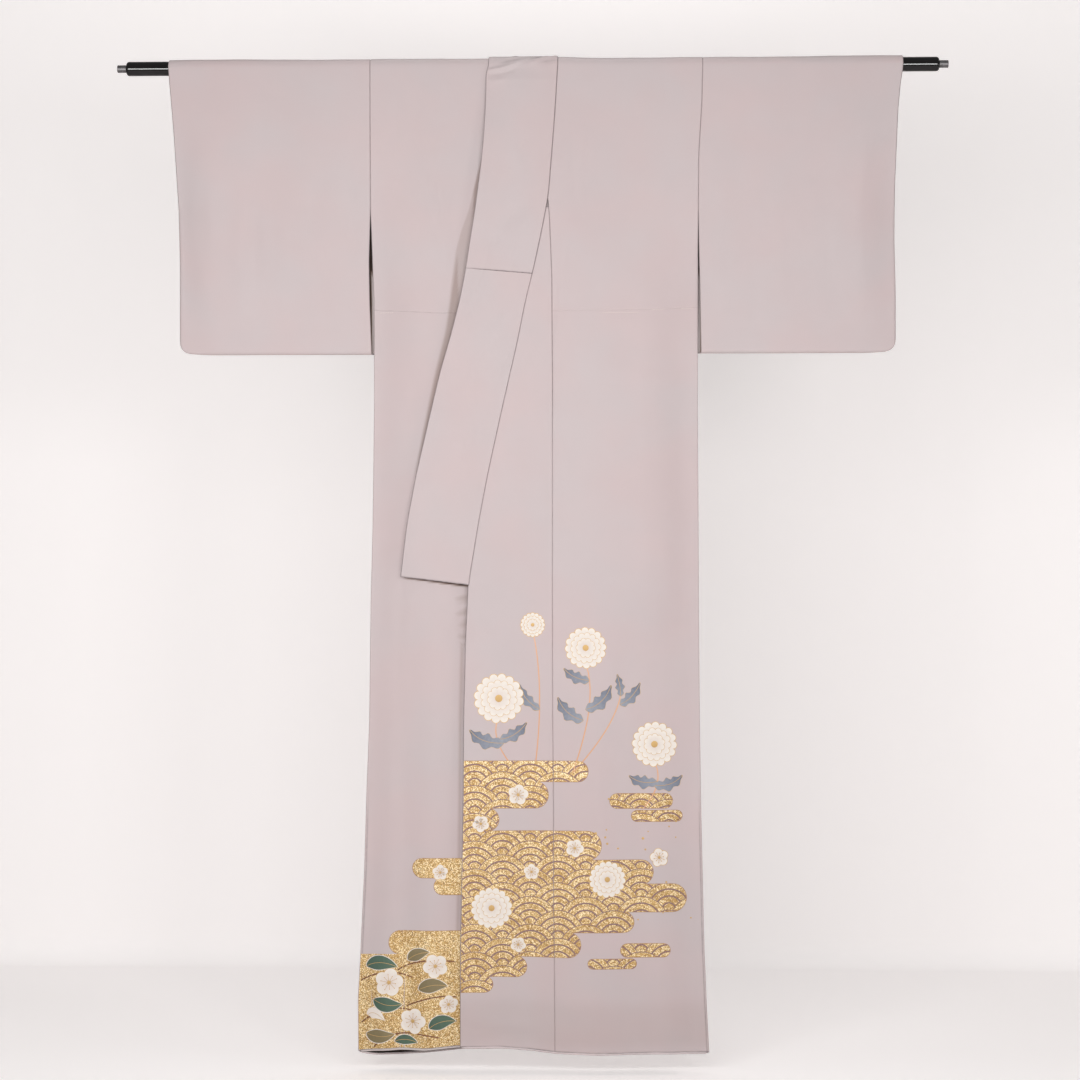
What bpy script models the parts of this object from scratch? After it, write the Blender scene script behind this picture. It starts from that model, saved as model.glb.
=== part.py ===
# A lined silk kimono hung with its sleeves spread on a lacquered rod.
# Sizes are in millimetres until a mesh is made. +X is the viewer's right, the fronts face -Y,
# and the origin is the middle of the rod's axis. "Left" and "right" pieces are the wearer's,
# so the left front is at the viewer's right and lies over the right front.
# Each body panel is one length of cloth, and so is the collar. Their solids are parted along the
# rod's top into a front and a back node, so that the hollow between them stays open.

import math
from collections import namedtuple

import bmesh
import bpy
import numpy as np
from mathutils import Matrix

MM = 0.001

# Driving sizes
ROD_RADIUS = 12.0
ROD_LENGTH = 1355.0
ROD_CHAMFER = 3.0
ROD_SIDES = 32
PIN_RADIUS = 6.3
PIN_LENGTH = 15.0
PIN_SIDES = 24
SEAM_GAP = 0.35
ROD_TOP_GAP = 0.6
CLOTH = 1.5
OVER_CLOTH = 1.2
ROD_CLEARANCE = 0.55
LAYER_CLEARANCE = 0.4
HEM_HEIGHT = -1640.0
BACK_NECK_DEPTH = 48.0
NECK_SLIT_RISE = 1.0
CENTRE_BACK = 5.5
LEFT_NECK = 44.5
RIGHT_NECK = -53.0
OKUMI_TIP = -225.0
OKUMI_TIP_WIDTH_DROP = 12.0
SLEEVE_SEWN_TO = -235.0
SLEEVE_CORNER = 18.0
SLEEVE_BOTTOM_RADIUS = 5.0
OVER_COLLAR_FOOT = -347.0
OVER_COLLAR_RIGHT_TOP = -26.0
COLLAR_FOOT = -864.0
COLLAR_BACK_OVERLAP = 5.0
ARC_STEPS = 8
SHARP_ANGLE = math.radians(40)
CHAMFER_ANGLE = math.radians(60)

# How far in from its side seams the body reaches its full thickness
RIGHT_SIDE_TAPER = 80.0
LEFT_SIDE_TAPER = 95.0
# Where the left front comes down to the body's own level, past the edge of the right front
COVER_REACH = 55.0
COVER_FADE = 45.0
COVER_CHANGE = 130.0
SIDE_FADE = 40.0
# The swell along the left front's free edge
EDGE_SWELL = 5.5
EDGE_SWELL_WIDTH = 45.0
COLLAR_SWELL_GROWS_TO = 200.0
OKUMI_SWELL_FROM = 760.0
OKUMI_SWELL_FADE = 110.0
# The left panel rises to the collar this far from the middle
NECK_RISE_FROM = 100.0
NECK_RISE_WIDTH = 55.0
NECK_FADE = 20.0
HEM_DROP_FROM = 1400.0
FOLD_STARTS, FOLD_MIDDLE = 0.08, 0.5
CUFF_TAPER = 60.0
CORNER_FROM = 430.0
CORNER_FADE = 45.0

BODY_RADIUS = ROD_RADIUS + ROD_CLEARANCE + CLOTH / 2
LEFT_COLLAR_RADIUS = BODY_RADIUS + CLOTH + LAYER_CLEARANCE
OVER_LIFT = CLOTH / 2 + LAYER_CLEARANCE + OVER_CLOTH / 2

# Heights are below the rod's axis. Each table is read by the height in its first column.
Sides = namedtuple("Sides", "height right left body_depth sleeve_depth")
BODY_SIDES = (
    Sides(20, -267.5, 284.6, 13.3, 13.3),
    Sides(-60, -267.3, 284.0, 13.3, 13.3),
    Sides(-150, -267.0, 278.6, 12.6, 12.6),
    Sides(-235, -267.0, 277.5, 9.6, 9.6),
    Sides(-325, -264.0, 276.8, 4.2, 8.4),
    Sides(-390, -261.5, 276.7, 1.1, 7.2),
    Sides(-560, -261.2, 276.8, 1.1, 5.0),
    Sides(-760, -263.7, 278.3, 1.1, 5.0),
    Sides(-890, -267.0, 278.8, 1.1, 5.0),
    Sides(-1090, -269.5, 280.0, 1.1, 5.0),
    Sides(-1220, -274.5, 282.5, 1.1, 5.0),
    Sides(-1340, -278.0, 285.5, 1.1, 5.0),
    Sides(-1470, -284.0, 288.2, 1.1, 5.0),
    Sides(-1556, -288.7, 290.0, 1.1, 5.0),
    Sides(-1645, -288.0, 293.2, 1.1, 5.0),
)
# The collar's free edge and the seam that joins it to the front. The right one is hidden.
Collar = namedtuple("Collar", "height free seam")
LEFT_COLLAR = (
    Collar(0, -71.0, 44.5),
    Collar(-15, -75.5, 43.0),
    Collar(-60, -76.8, 40.0),
    Collar(-117, -79.6, 36.0),
    Collar(-162, -84.0, 32.2),
    Collar(-215, -91.0, 28.0),
    Collar(-255, -96.0, 21.0),
    Collar(-295, -102.6, 13.0),
    Collar(-336, -108.5, 5.0),
    Collar(-391, -118.2, -8.2),
    Collar(-450, -133.0, -19.8),
    Collar(-510, -151.0, -34.0),
    Collar(-592, -170.8, -53.1),
    Collar(-682, -191.0, -72.6),
    Collar(-762, -206.6, -87.5),
    Collar(-865, -218.5, -104.6),
)
RIGHT_COLLAR = (
    Collar(0, 43.0, -53.0),
    Collar(-15, 43.5, -51.0),
    Collar(-60, 52.0, -43.0),
    Collar(-117, 66.0, -33.0),
    Collar(-215, 92.0, -20.5),
    Collar(-295, 108.0, -5.0),
    Collar(-336, 116.0, 3.5),
    Collar(-450, 140.0, 27.5),
    Collar(-592, 178.5, 61.0),
    Collar(-762, 214.0, 95.5),
    Collar(-865, 226.0, 112.5),
)
# The collar's cross lines rise from its seam to its free edge.
Slant = namedtuple("Slant", "height rise")
COLLAR_SLANT = (Slant(-60, 0.0), Slant(-347, 9.0), Slant(-864, 14.0))
# The overlap panels: the seam to the body panel and the front edge below the collar's end.
Okumi = namedtuple("Okumi", "height seam edge")
LEFT_OKUMI = (
    Okumi(-225, 27.3, -104.6),
    Okumi(-255, 30.3, -104.6),
    Okumi(-350, 34.0, -104.6),
    Okumi(-524, 35.5, -104.6),
    Okumi(-865, 35.5, -104.6),
    Okumi(-956, 35.8, -107.8),
    Okumi(-1090, 36.3, -111.1),
    Okumi(-1222, 37.8, -112.0),
    Okumi(-1389, 37.9, -115.2),
    Okumi(-1488, 39.5, -117.2),
    Okumi(-1645, 41.1, -117.2),
)
RIGHT_OKUMI = (
    Okumi(-225, -19.3, 112.5),
    Okumi(-350, -26.0, 112.5),
    Okumi(-865, -27.5, 112.5),
    Okumi(-1090, -28.3, 119.0),
    Okumi(-1389, -30.0, 123.0),
    Okumi(-1645, -33.0, 125.0),
)
# The front and back hems aren't level: x along the hem, then each hem's height there.
Hem = namedtuple("Hem", "x front back")
HEMS = (
    Hem(-288, -1641.5, -1642.0),
    Hem(-260, -1639.0, -1645.0),
    Hem(-218, -1635.5, -1645.5),
    Hem(-177, -1638.0, -1645.0),
    Hem(-118, -1633.5, -1643.5),
    Hem(-52, -1633.5, -1642.0),
    Hem(-2, -1637.0, -1643.0),
    Hem(41, -1642.0, -1644.0),
    Hem(114, -1642.4, -1644.5),
    Hem(214, -1641.0, -1643.5),
    Hem(280, -1638.0, -1640.0),
    Hem(293, -1638.7, -1640.0),
)
# Soft upright folds. Depths are how far each swells outward, at mid height and at the hem.
Fold = namedtuple("Fold", "x_top x_hem width middle hem")
RIGHT_FRONT_FOLDS = (
    Fold(-236, -252, 24, 1.5, 5.0),
    Fold(-198, -214, 22, -1.0, -4.5),
    Fold(-150, -166, 26, 2.0, 5.0),
)
LEFT_FRONT_FOLDS = (
    Fold(-60, -82, 45, 1.5, 3.0),
    Fold(20, 0, 40, -1.0, -2.5),
    Fold(95, 104, 55, 2.0, 5.0),
    Fold(228, 240, 26, 1.0, 3.0),
)
BACK_FOLDS = (
    Fold(-205, -222, 40, 3.0, 7.0),
    Fold(-18, -22, 50, 2.0, 5.0),
    Fold(190, 204, 42, 3.0, 7.0),
)
# Sleeve sizes at each height: where its outer edge lies and how far it hangs off the body.
Sleeve = namedtuple("Sleeve", "height outer gap")
RIGHT_SLEEVE = (
    Sleeve(20, -604.5, 0.3),
    Sleeve(-105, -595.0, 0.3),
    Sleeve(-235, -587.5, 0.3),
    Sleeve(-324, -585.5, 6.4),
    Sleeve(-390, -585.5, 8.0),
    Sleeve(-481, -585.5, 4.2),
)
LEFT_SLEEVE = (
    Sleeve(20, 619.0, 0.3),
    Sleeve(-13, 616.0, 0.3),
    Sleeve(-35, 612.5, 0.3),
    Sleeve(-75, 609.0, 0.3),
    Sleeve(-203, 604.0, 0.3),
    Sleeve(-235, 603.6, 0.3),
    Sleeve(-294, 603.2, 1.4),
    Sleeve(-377, 605.3, 4.4),
    Sleeve(-481, 605.3, 7.0),
)
Depth = namedtuple("Depth", "height middle edge")
SLEEVE_DEPTHS = (
    Depth(0, 13.3, 13.3),
    Depth(-70, 13.0, 10.5),
    Depth(-150, 12.0, 6.5),
    Depth(-232, 10.6, 2.4),
    Depth(-360, 8.6, 2.4),
    Depth(-475, 5.0, 2.4),
)
SLEEVE_BOTTOMS = {"right": -480.5, "left": -478.5}
# How far the left front's layer stands off the right front's
Layer = namedtuple("Layer", "height lift")
LAYER_LIFT = (
    Layer(0, LEFT_COLLAR_RADIUS - BODY_RADIUS),
    Layer(-24, 3.7),
    Layer(-110, 5.5),
    Layer(-400, 6.0),
)
# Where the upright grid lines of each piece lie, as shares of its width or distances from its cuff
BODY_SHARES = (0.0, 0.12, 0.27, 0.43, 0.59, 0.73, 0.84, 0.92, 0.97, 1.0)
OVERLAP_SHARES = (0.0, 0.1, 0.35, 0.68, 1.0)
COLLAR_SHARES = (0.0, 0.1, 0.37, 0.64, 0.9, 1.0)
SLEEVE_DISTANCES = (250.0, 170.0, 90.0, 40.0, 18.0, 11.0, 5.0, 0.0)


def read(table, column, height):
    """A table's column at a height, in a straight line between its rows."""
    rows = sorted(table, key=lambda row: row[0])
    return float(np.interp(height, [row[0] for row in rows], [getattr(row, column) for row in rows]))


def smooth(share):
    """0 to 1 with level ends."""
    share = min(max(share, 0.0), 1.0)
    return share * share * (3 - 2 * share)


def fold_swell(folds, x, height):
    """How far the folds push the cloth outward at this place."""
    down = min(max(-height / -HEM_HEIGHT, 0.0), 1.0)
    swell = 0.0
    for fold in folds:
        middle = fold.x_top + (fold.x_hem - fold.x_top) * down
        depth = np.interp(down, (FOLD_STARTS, FOLD_MIDDLE, 1.0), (0.0, fold.middle, fold.hem))
        swell += depth * math.exp(-(((x - middle) / fold.width) ** 2))
    return swell


def body_depth(x, height):
    """Half the body's thickness: the layers draw together at the side seams."""
    side = read(BODY_SIDES, "body_depth", height)
    to_right = x - read(BODY_SIDES, "right", height)
    to_left = read(BODY_SIDES, "left", height) - x
    share = smooth(to_right / RIGHT_SIDE_TAPER) * smooth(to_left / LEFT_SIDE_TAPER)
    return side + (BODY_RADIUS - side) * share, share


def right_front_y(x, height):
    depth, share = body_depth(x, height)
    return -depth - share * fold_swell(RIGHT_FRONT_FOLDS, x, height)


def back_y(x, height):
    depth, share = body_depth(x, height)
    return depth + share * fold_swell(BACK_FOLDS, x, height)


def left_front_lift(x, height):
    """How far the left front stands off the right front that it covers."""
    down = -height
    lift = read(LAYER_LIFT, "lift", height)
    below_collar = smooth((COLLAR_FOOT - height) / COVER_CHANGE)
    cover = read(RIGHT_COLLAR, "free", height) * (1 - below_collar)
    cover += read(RIGHT_OKUMI, "edge", height) * below_collar
    to_side = read(BODY_SIDES, "left", height) - x
    lift *= smooth((cover + COVER_REACH - x) / COVER_FADE) * smooth(to_side / SIDE_FADE)
    at_collar = x - read(LEFT_COLLAR, "free", height)
    at_okumi = x - read(LEFT_OKUMI, "edge", height)
    by_collar = by_okumi = 0.0
    if height >= COLLAR_FOOT:
        grown = smooth(down / COLLAR_SWELL_GROWS_TO)
        by_collar = math.exp(-max(at_collar, 0) / EDGE_SWELL_WIDTH) * grown
    grown = smooth((down - OKUMI_SWELL_FROM) / OKUMI_SWELL_FADE)
    by_okumi = math.exp(-max(at_okumi, 0) / EDGE_SWELL_WIDTH) * grown
    return lift + EDGE_SWELL * max(by_collar, by_okumi)


def left_front_y(x, height):
    depth, share = body_depth(x, height)
    swell = fold_swell(LEFT_FRONT_FOLDS, x, height)
    return -depth - left_front_lift(x, height) - share * swell


def hem_drop(x, height, side):
    """Lowers or raises the last of a panel so that it ends on its hem."""
    share = smooth((-height - HEM_DROP_FROM) / (-HEM_HEIGHT - HEM_DROP_FROM))
    rows = [(row.x, getattr(row, side)) for row in HEMS]
    hem = np.interp(x, [row[0] for row in rows], [row[1] for row in rows])
    return height + (hem - HEM_HEIGHT) * share


def shoulder_radius(x):
    """The left body panel rises to the collar at the neck."""
    return BODY_RADIUS + (LEFT_COLLAR_RADIUS - BODY_RADIUS) * smooth((NECK_RISE_FROM - x) / NECK_RISE_WIDTH)


def material(name, colour, roughness, metallic=0.0):
    made = bpy.data.materials.new(name)
    made.use_nodes = True
    shader = made.node_tree.nodes["Principled BSDF"]
    shader.inputs["Base Color"].default_value = (*colour, 1.0)
    shader.inputs["Roughness"].default_value = roughness
    shader.inputs["Metallic"].default_value = metallic
    return made


def add_object(name, bm, look, collection):
    mesh = bpy.data.meshes.new(name)
    bm.to_mesh(mesh)
    bm.free()
    mesh.materials.append(look)
    mesh.shade_smooth()
    made = bpy.data.objects.new(name, mesh)
    collection.objects.link(made)
    return made


def cloth_sheet(name, points, thickness, look, collection):
    """A grid of faces moved to the given rows of points, then given its thickness."""
    rows = len(points) - 1
    columns = len(points[0]) - 1
    bm = bmesh.new()
    bmesh.ops.create_grid(bm, x_segments=columns, y_segments=rows, size=1.0)
    for vertex in bm.verts:
        column = round((vertex.co.x + 1) / 2 * columns)
        row = round((vertex.co.y + 1) / 2 * rows)
        vertex.co = [size * MM for size in points[row][column]]
    bmesh.ops.remove_doubles(bm, verts=bm.verts, dist=0.00002)
    made = add_object(name, bm, look, collection)
    wall = made.modifiers.new("wall", "SOLIDIFY")
    wall.thickness = thickness * MM
    wall.offset = 0.0
    wall.use_even_offset = True
    made.data.set_sharp_from_angle(angle=SHARP_ANGLE)
    return made


def arc_points(x, radius):
    """Points of a strip over the rod, from the front to the back, without its ends."""
    angles = [math.pi * step / ARC_STEPS for step in range(1, ARC_STEPS)]
    return [(x, -radius * math.cos(angle), radius * math.sin(angle)) for angle in angles]


def halves(name, rows, top_row, thickness, look, collection):
    """A strip over the rod as two solids, parted along the rod's top."""
    front, back = rows[: top_row + 1], rows[top_row:]
    front[-1] = [(x, y - ROD_TOP_GAP / 2, z) for x, y, z in front[-1]]
    back[0] = [(x, y + ROD_TOP_GAP / 2, z) for x, y, z in back[0]]
    cloth_sheet(f"{name}_front", front, thickness, look, collection)
    cloth_sheet(f"{name}_back", back, thickness, look, collection)


def heights_between(top, bottom, count):
    return [top + (bottom - top) * step / count for step in range(count + 1)]


# Rows of points. Pieces that meet along a seam share their rows there, so that no edge crosses.
NECK_HEIGHTS = heights_between(0, -60, 3)
CHEST_HEIGHTS = [-88, -117, -150, -188, OKUMI_TIP]
OVERLAP_HEIGHTS = [OKUMI_TIP - OKUMI_TIP_WIDTH_DROP, -275, -310, OVER_COLLAR_FOOT]
OVERLAP_HEIGHTS += heights_between(-391, -804, 7) + [COLLAR_FOOT]
SKIRT_HEIGHTS = heights_between(-925, -1390, 6) + heights_between(-1445, HEM_HEIGHT, 4)
FRONT_HEIGHTS = NECK_HEIGHTS + CHEST_HEIGHTS + OVERLAP_HEIGHTS + SKIRT_HEIGHTS
ARMHOLE_HEIGHTS = [-60, -105, -150, -195, -235]
BACK_HEIGHTS = ARMHOLE_HEIGHTS + [-280, -325, -390] + heights_between(-500, -1390, 7)
BACK_HEIGHTS += heights_between(-1445, HEM_HEIGHT, 4)


def front_inner_edge(side, height):
    """Where a body panel meets the collar, and below the overlap panel's tip, that panel."""
    if side == "left":
        table, collar = LEFT_OKUMI, LEFT_COLLAR
    else:
        table, collar = RIGHT_OKUMI, RIGHT_COLLAR
    if height >= OKUMI_TIP:
        return read(collar, "seam", height)
    return read(table, "seam", height)


def body_panel(side, look, collection):
    """One length of cloth, from the front hem over the rod to the back hem."""
    outward = 1 if side == "left" else -1
    neck = LEFT_NECK if side == "left" else RIGHT_NECK
    front_y = left_front_y if side == "left" else right_front_y
    radius = shoulder_radius if side == "left" else lambda x: BODY_RADIUS
    half_gap = outward * SEAM_GAP / 2
    neckline = BACK_NECK_DEPTH - NECK_SLIT_RISE / 2
    rows = []
    for height in reversed(FRONT_HEIGHTS):
        inner = front_inner_edge(side, height) + half_gap
        outer = read(BODY_SIDES, side, height)
        row = [inner + (outer - inner) * share for share in BODY_SHARES]
        if height == 0:
            top_row = len(rows) + ARC_STEPS // 2
            rows.append([(x, -radius(x), 0) for x in row])
        else:
            rows.append([(x, front_y(x, height), hem_drop(x, height, "front")) for x in row])
    inner = neck + half_gap
    outer = read(BODY_SIDES, side, 0)
    across = [inner + (outer - inner) * share for share in BODY_SHARES]
    arcs = [arc_points(x, radius(x)) for x in across]
    rows += [list(row) for row in zip(*arcs)]
    back_heights = [-height for height in (0, NECK_FADE, neckline, neckline + NECK_SLIT_RISE)]
    for height in back_heights + BACK_HEIGHTS:
        inner = (neck if height >= -neckline else CENTRE_BACK) + half_gap
        outer = read(BODY_SIDES, side, height)
        row = [inner + (outer - inner) * share for share in BODY_SHARES]
        if height > ARMHOLE_HEIGHTS[0]:
            fade = smooth((height + NECK_FADE) / NECK_FADE)
            rows.append([(x, BODY_RADIUS + (radius(x) - BODY_RADIUS) * fade, height) for x in row])
        else:
            rows.append([(x, back_y(x, height), hem_drop(x, height, "back")) for x in row])
    halves(f"body_{side}", rows, top_row, CLOTH, look, collection)


def overlap_panel(side, look, collection):
    """The long panel between a front and its free edge, narrowing to a tip under the collar."""
    table, collar = (LEFT_OKUMI, LEFT_COLLAR) if side == "left" else (RIGHT_OKUMI, RIGHT_COLLAR)
    outward = 1 if side == "left" else -1
    front_y = left_front_y if side == "left" else right_front_y
    rows = []
    for height in OVERLAP_HEIGHTS + SKIRT_HEIGHTS:
        seam = read(table, "seam", height) - outward * SEAM_GAP / 2
        free = read(table, "edge", height)
        if height >= COLLAR_FOOT:
            free = read(collar, "seam", height) + outward * SEAM_GAP / 2
        row = [free + (seam - free) * share for share in OVERLAP_SHARES]
        rows.append([(x, front_y(x, height), hem_drop(x, height, "front")) for x in row])
    cloth_sheet(f"okumi_{side}", rows, CLOTH, look, collection)


def collar_strip(side, heights, over_rod_to, lift, radius):
    """Rows of points for the collar on one side, moved out by lift, with its way over the rod."""
    table = LEFT_COLLAR if side == "left" else RIGHT_COLLAR
    outward = 1 if side == "left" else -1
    front_y = left_front_y if side == "left" else right_front_y
    rows = []
    for height in heights:
        row = []
        for share in COLLAR_SHARES:
            at = height + read(COLLAR_SLANT, "rise", height) * (1 - share)
            free = read(table, "free", at)
            seam = read(table, "seam", at) - outward * SEAM_GAP / 2
            x = free + (seam - free) * share
            row.append((x, front_y(x, at) - lift, at))
        rows.append(row)
    if over_rod_to is None:
        return rows
    free = read(table, "free", 0)
    seam = (LEFT_NECK if side == "left" else RIGHT_NECK) - outward * SEAM_GAP / 2
    across = [free + (seam - free) * share for share in COLLAR_SHARES]
    rows.append([(x, -radius, 0) for x in across])
    rows += [list(row) for row in zip(*[arc_points(x, radius) for x in across])]
    rows += [[(x, radius, height) for x in across] for height in (0, over_rod_to / 2, over_rod_to)]
    return rows


def collar_pieces(looks, collection):
    """The strip's left half lies over its right half and over the rod to the back neckline."""
    heights = [height for height in reversed(FRONT_HEIGHTS) if COLLAR_FOOT <= height < 0]
    over_heights = [height for height in heights if height >= OVER_COLLAR_FOOT]
    neckline = -(BACK_NECK_DEPTH - NECK_SLIT_RISE)
    foot = neckline - COLLAR_BACK_OVERLAP
    top_row = len(heights) + ARC_STEPS // 2
    left = collar_strip("left", heights, foot, 0.0, LEFT_COLLAR_RADIUS)
    halves("collar_left", left, top_row, CLOTH, looks["collar_left"], collection)
    right = collar_strip("right", heights, neckline, 0.0, BODY_RADIUS)
    halves("collar_right", right, top_row, CLOTH, looks["collar_right"], collection)
    over_top_row = len(over_heights) + ARC_STEPS // 2
    over_left = collar_strip("left", over_heights, foot, OVER_LIFT, LEFT_COLLAR_RADIUS + OVER_LIFT)
    halves("over_collar_left", over_left, over_top_row, OVER_CLOTH, looks["over_collar_left"], collection)
    hidden = [height for height in over_heights if height <= OVER_COLLAR_RIGHT_TOP]
    over_right = collar_strip("right", hidden, None, OVER_LIFT, BODY_RADIUS)
    cloth_sheet("over_collar_right", over_right, OVER_CLOTH, looks["over_collar_right"], collection)


def sleeve(side, look, collection):
    """A flat bag round the rod: open at the cuff and, below its seam, toward the body."""
    table = LEFT_SLEEVE if side == "left" else RIGHT_SLEEVE
    outward = 1 if side == "left" else -1
    bottom = SLEEVE_BOTTOMS[side]
    lowest_row = bottom + SLEEVE_BOTTOM_RADIUS
    heights = [0, -30] + ARMHOLE_HEIGHTS + heights_between(-280, -440, 4)
    heights += heights_between(-458, lowest_row, 2)

    def column(distance):
        """A loop of points: down the front, round the bottom, up the back and over the rod.
        The distance is from the cuff, or None at the armhole."""
        corner = 0.0
        if distance is not None and distance < SLEEVE_CORNER:
            reach = SLEEVE_CORNER - distance
            corner = SLEEVE_CORNER - math.sqrt(SLEEVE_CORNER**2 - reach**2)

        def place(height):
            outer = read(table, "outer", height)
            inner = read(BODY_SIDES, side, height) + outward * read(table, "gap", height)
            middle = read(SLEEVE_DEPTHS, "middle", height)
            if distance is None:
                side_depth = read(BODY_SIDES, "sleeve_depth", height)
                return inner, min(side_depth, BODY_RADIUS)
            edge = read(SLEEVE_DEPTHS, "edge", height)
            if distance == 0 and height < SLEEVE_SEWN_TO:
                return outer, 0.0
            depth = edge + (middle - edge) * smooth(distance / CUFF_TAPER)
            return outer - outward * distance, depth

        front, back = [], []
        for height in heights:
            x, depth = place(height)
            raised = height + corner * smooth((-height - CORNER_FROM) / CORNER_FADE)
            front.append((x, -depth, raised))
            back.append((x, depth, raised))
        x, depth = place(lowest_row)
        low = lowest_row + corner
        drop = min(depth, SLEEVE_BOTTOM_RADIUS)
        turn = []
        for degrees in (-45, 0, 45):
            angle = math.radians(degrees)
            turn.append((x, depth * math.sin(angle), low - drop * math.cos(angle)))
        over = [(place(0)[0], y, z) for _, y, z in reversed(arc_points(0, BODY_RADIUS))]
        return front + turn + back[::-1] + over + [front[0]]

    columns = [column(distance) for distance in (None, *SLEEVE_DISTANCES)]
    cloth_sheet(f"sleeve_{side}", [list(row) for row in zip(*columns)], CLOTH, look, collection)


def rod_piece(name, radius, length, x, sides, look, collection):
    """A round bar along X."""
    bm = bmesh.new()
    turn = Matrix.Translation((x * MM, 0, 0)) @ Matrix.Rotation(math.pi / 2, 4, "Y")
    bmesh.ops.create_cone(
        bm,
        cap_ends=True,
        segments=sides,
        radius1=radius * MM,
        radius2=radius * MM,
        depth=length * MM,
        matrix=turn,
    )
    made = add_object(name, bm, look, collection)
    made.data.set_sharp_from_angle(angle=SHARP_ANGLE)
    return made


def rod_and_pins(looks, collection):
    rod = rod_piece("rod", ROD_RADIUS, ROD_LENGTH, 0, ROD_SIDES, looks["rod"], collection)
    chamfer = rod.modifiers.new("chamfer", "BEVEL")
    chamfer.width = ROD_CHAMFER * MM
    chamfer.segments = 1
    chamfer.limit_method = "ANGLE"
    chamfer.angle_limit = CHAMFER_ANGLE
    at = ROD_LENGTH / 2 + SEAM_GAP + PIN_LENGTH / 2
    rod_piece("pin_right", PIN_RADIUS, PIN_LENGTH, -at, PIN_SIDES, looks["pin_right"], collection)
    rod_piece("pin_left", PIN_RADIUS, PIN_LENGTH, at, PIN_SIDES, looks["pin_left"], collection)


def main():
    for old in list(bpy.data.objects):
        bpy.data.objects.remove(old, do_unlink=True)
    collection = bpy.data.collections.new("kimono_on_rod")
    bpy.context.scene.collection.children.link(collection)
    silk = (0.61, 0.53, 0.53)
    cloth_pieces = ("body", "okumi", "collar", "over_collar", "sleeve")
    cloth_names = [f"{piece}_{side}" for piece in cloth_pieces for side in ("left", "right")]
    looks = {name: material(name, silk, 0.55) for name in cloth_names}
    looks["rod"] = material("rod", (0.012, 0.010, 0.011), 0.15)
    looks["pin_left"] = material("pin_left", (0.45, 0.45, 0.46), 0.35, 1.0)
    looks["pin_right"] = material("pin_right", (0.45, 0.45, 0.46), 0.35, 1.0)
    for side in ("left", "right"):
        body_panel(side, looks[f"body_{side}"], collection)
        overlap_panel(side, looks[f"okumi_{side}"], collection)
        sleeve(side, looks[f"sleeve_{side}"], collection)
    collar_pieces(looks, collection)
    rod_and_pins(looks, collection)


main()
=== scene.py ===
import math
import random
import bpy
import numpy as np
from mathutils import Matrix, Vector


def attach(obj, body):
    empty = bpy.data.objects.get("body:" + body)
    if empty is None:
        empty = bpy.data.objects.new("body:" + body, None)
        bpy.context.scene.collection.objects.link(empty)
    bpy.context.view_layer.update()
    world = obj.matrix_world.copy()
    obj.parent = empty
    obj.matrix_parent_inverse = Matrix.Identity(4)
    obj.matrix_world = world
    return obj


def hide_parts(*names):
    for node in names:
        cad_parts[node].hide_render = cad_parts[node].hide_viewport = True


# A lined silk kimono hung with its sleeves spread on a lacquered rod.
# Sizes are in millimetres and become metres when a mesh is placed. The fronts face -Y, up is +Z,
# "left" is the wearer's left (+X), and the origin is the middle of the rod's axis.
mm = 0.001
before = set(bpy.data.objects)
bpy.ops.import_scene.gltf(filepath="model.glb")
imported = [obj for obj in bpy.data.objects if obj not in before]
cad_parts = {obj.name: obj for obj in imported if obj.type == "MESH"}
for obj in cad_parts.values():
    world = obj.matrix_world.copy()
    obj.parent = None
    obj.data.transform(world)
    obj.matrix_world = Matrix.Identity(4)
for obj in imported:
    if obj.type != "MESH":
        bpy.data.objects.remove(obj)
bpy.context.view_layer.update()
print("frame loaded:", len(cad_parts), "nodes")

garment = {
    "hem": -1640.0,  # height of the level hem that the uneven one starts from
    "clothRadius": 13.3,  # middle of the cloth where it goes over the rod
    "collarRadius": 15.2,  # the same for the collar's upper layer
    "overCollarLift": 1.5,  # over-collar off the collar
    "collarFoot": -864.0,
    "overCollarFoot": -347.0,
    "okumiTip": -225.0,
    "okumiStart": -237.0,
    "sleeveSewnTo": -235.0,
    "neckDepth": 48.0,
    "neckSlit": 1.0,
    "centreBack": 5.5,
    "leftNeck": 45.5,
    "rightNeck": -53.0,
    "seamGap": 0.3,
    "clothThickness": 1.1,
    "rim": 0.22,  # rounding of the cloth's cut edges
    "step": 6.5,  # size of a cloth mesh's cells
    "settle": 25.0,  # over this height the cloth bends from the rod's curve to its own fall
}

# Where the outline runs at each height below the rod
bodySides = {
    "height": (20, -60, -150, -235, -325, -390, -560, -760, -890, -1090, -1220, -1340, -1470, -1556, -1645),
    "right": (-267.5, -267.3, -267, -267, -264, -261.5, -261.2, -263.7, -267, -269.5, -274.5, -278, -284, -288.7, -288),
    "left": (286.4, 284.6, 279.4, 278.7, 278.3, 278.2, 277.7, 279, 279.5, 281.2, 283.2, 285.8, 289, 292.6, 297),
    "bodyDepth": (13.3, 13.3, 12.6, 9.6, 4.2, 1.1, 1.1, 1.1, 1.1, 1.1, 1.1, 1.1, 1.1, 1.1, 1.1),
    "sleeveDepth": (13.3, 13.3, 12.6, 9.6, 8.4, 7.2, 5, 5, 5, 5, 5, 5, 5, 5, 5),
}
leftCollar = {
    "height": (0, -15, -60, -117, -162, -215, -255, -295, -336, -391, -450, -510, -592, -682, -762, -865),
    "free": (
        -69.5, -73.5, -74, -77.2, -81.2, -88.2, -93.6, -100.6,
        -106.2, -117, -132, -149.7, -168.9, -189.8, -205, -217.5,
    ),
    "seam": (45.5, 44.5, 42, 38, 34.3, 30.2, 23, 14.7, 6, -7.9, -19.4, -33, -51.5, -71.2, -86.3, -102.8),
}
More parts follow.
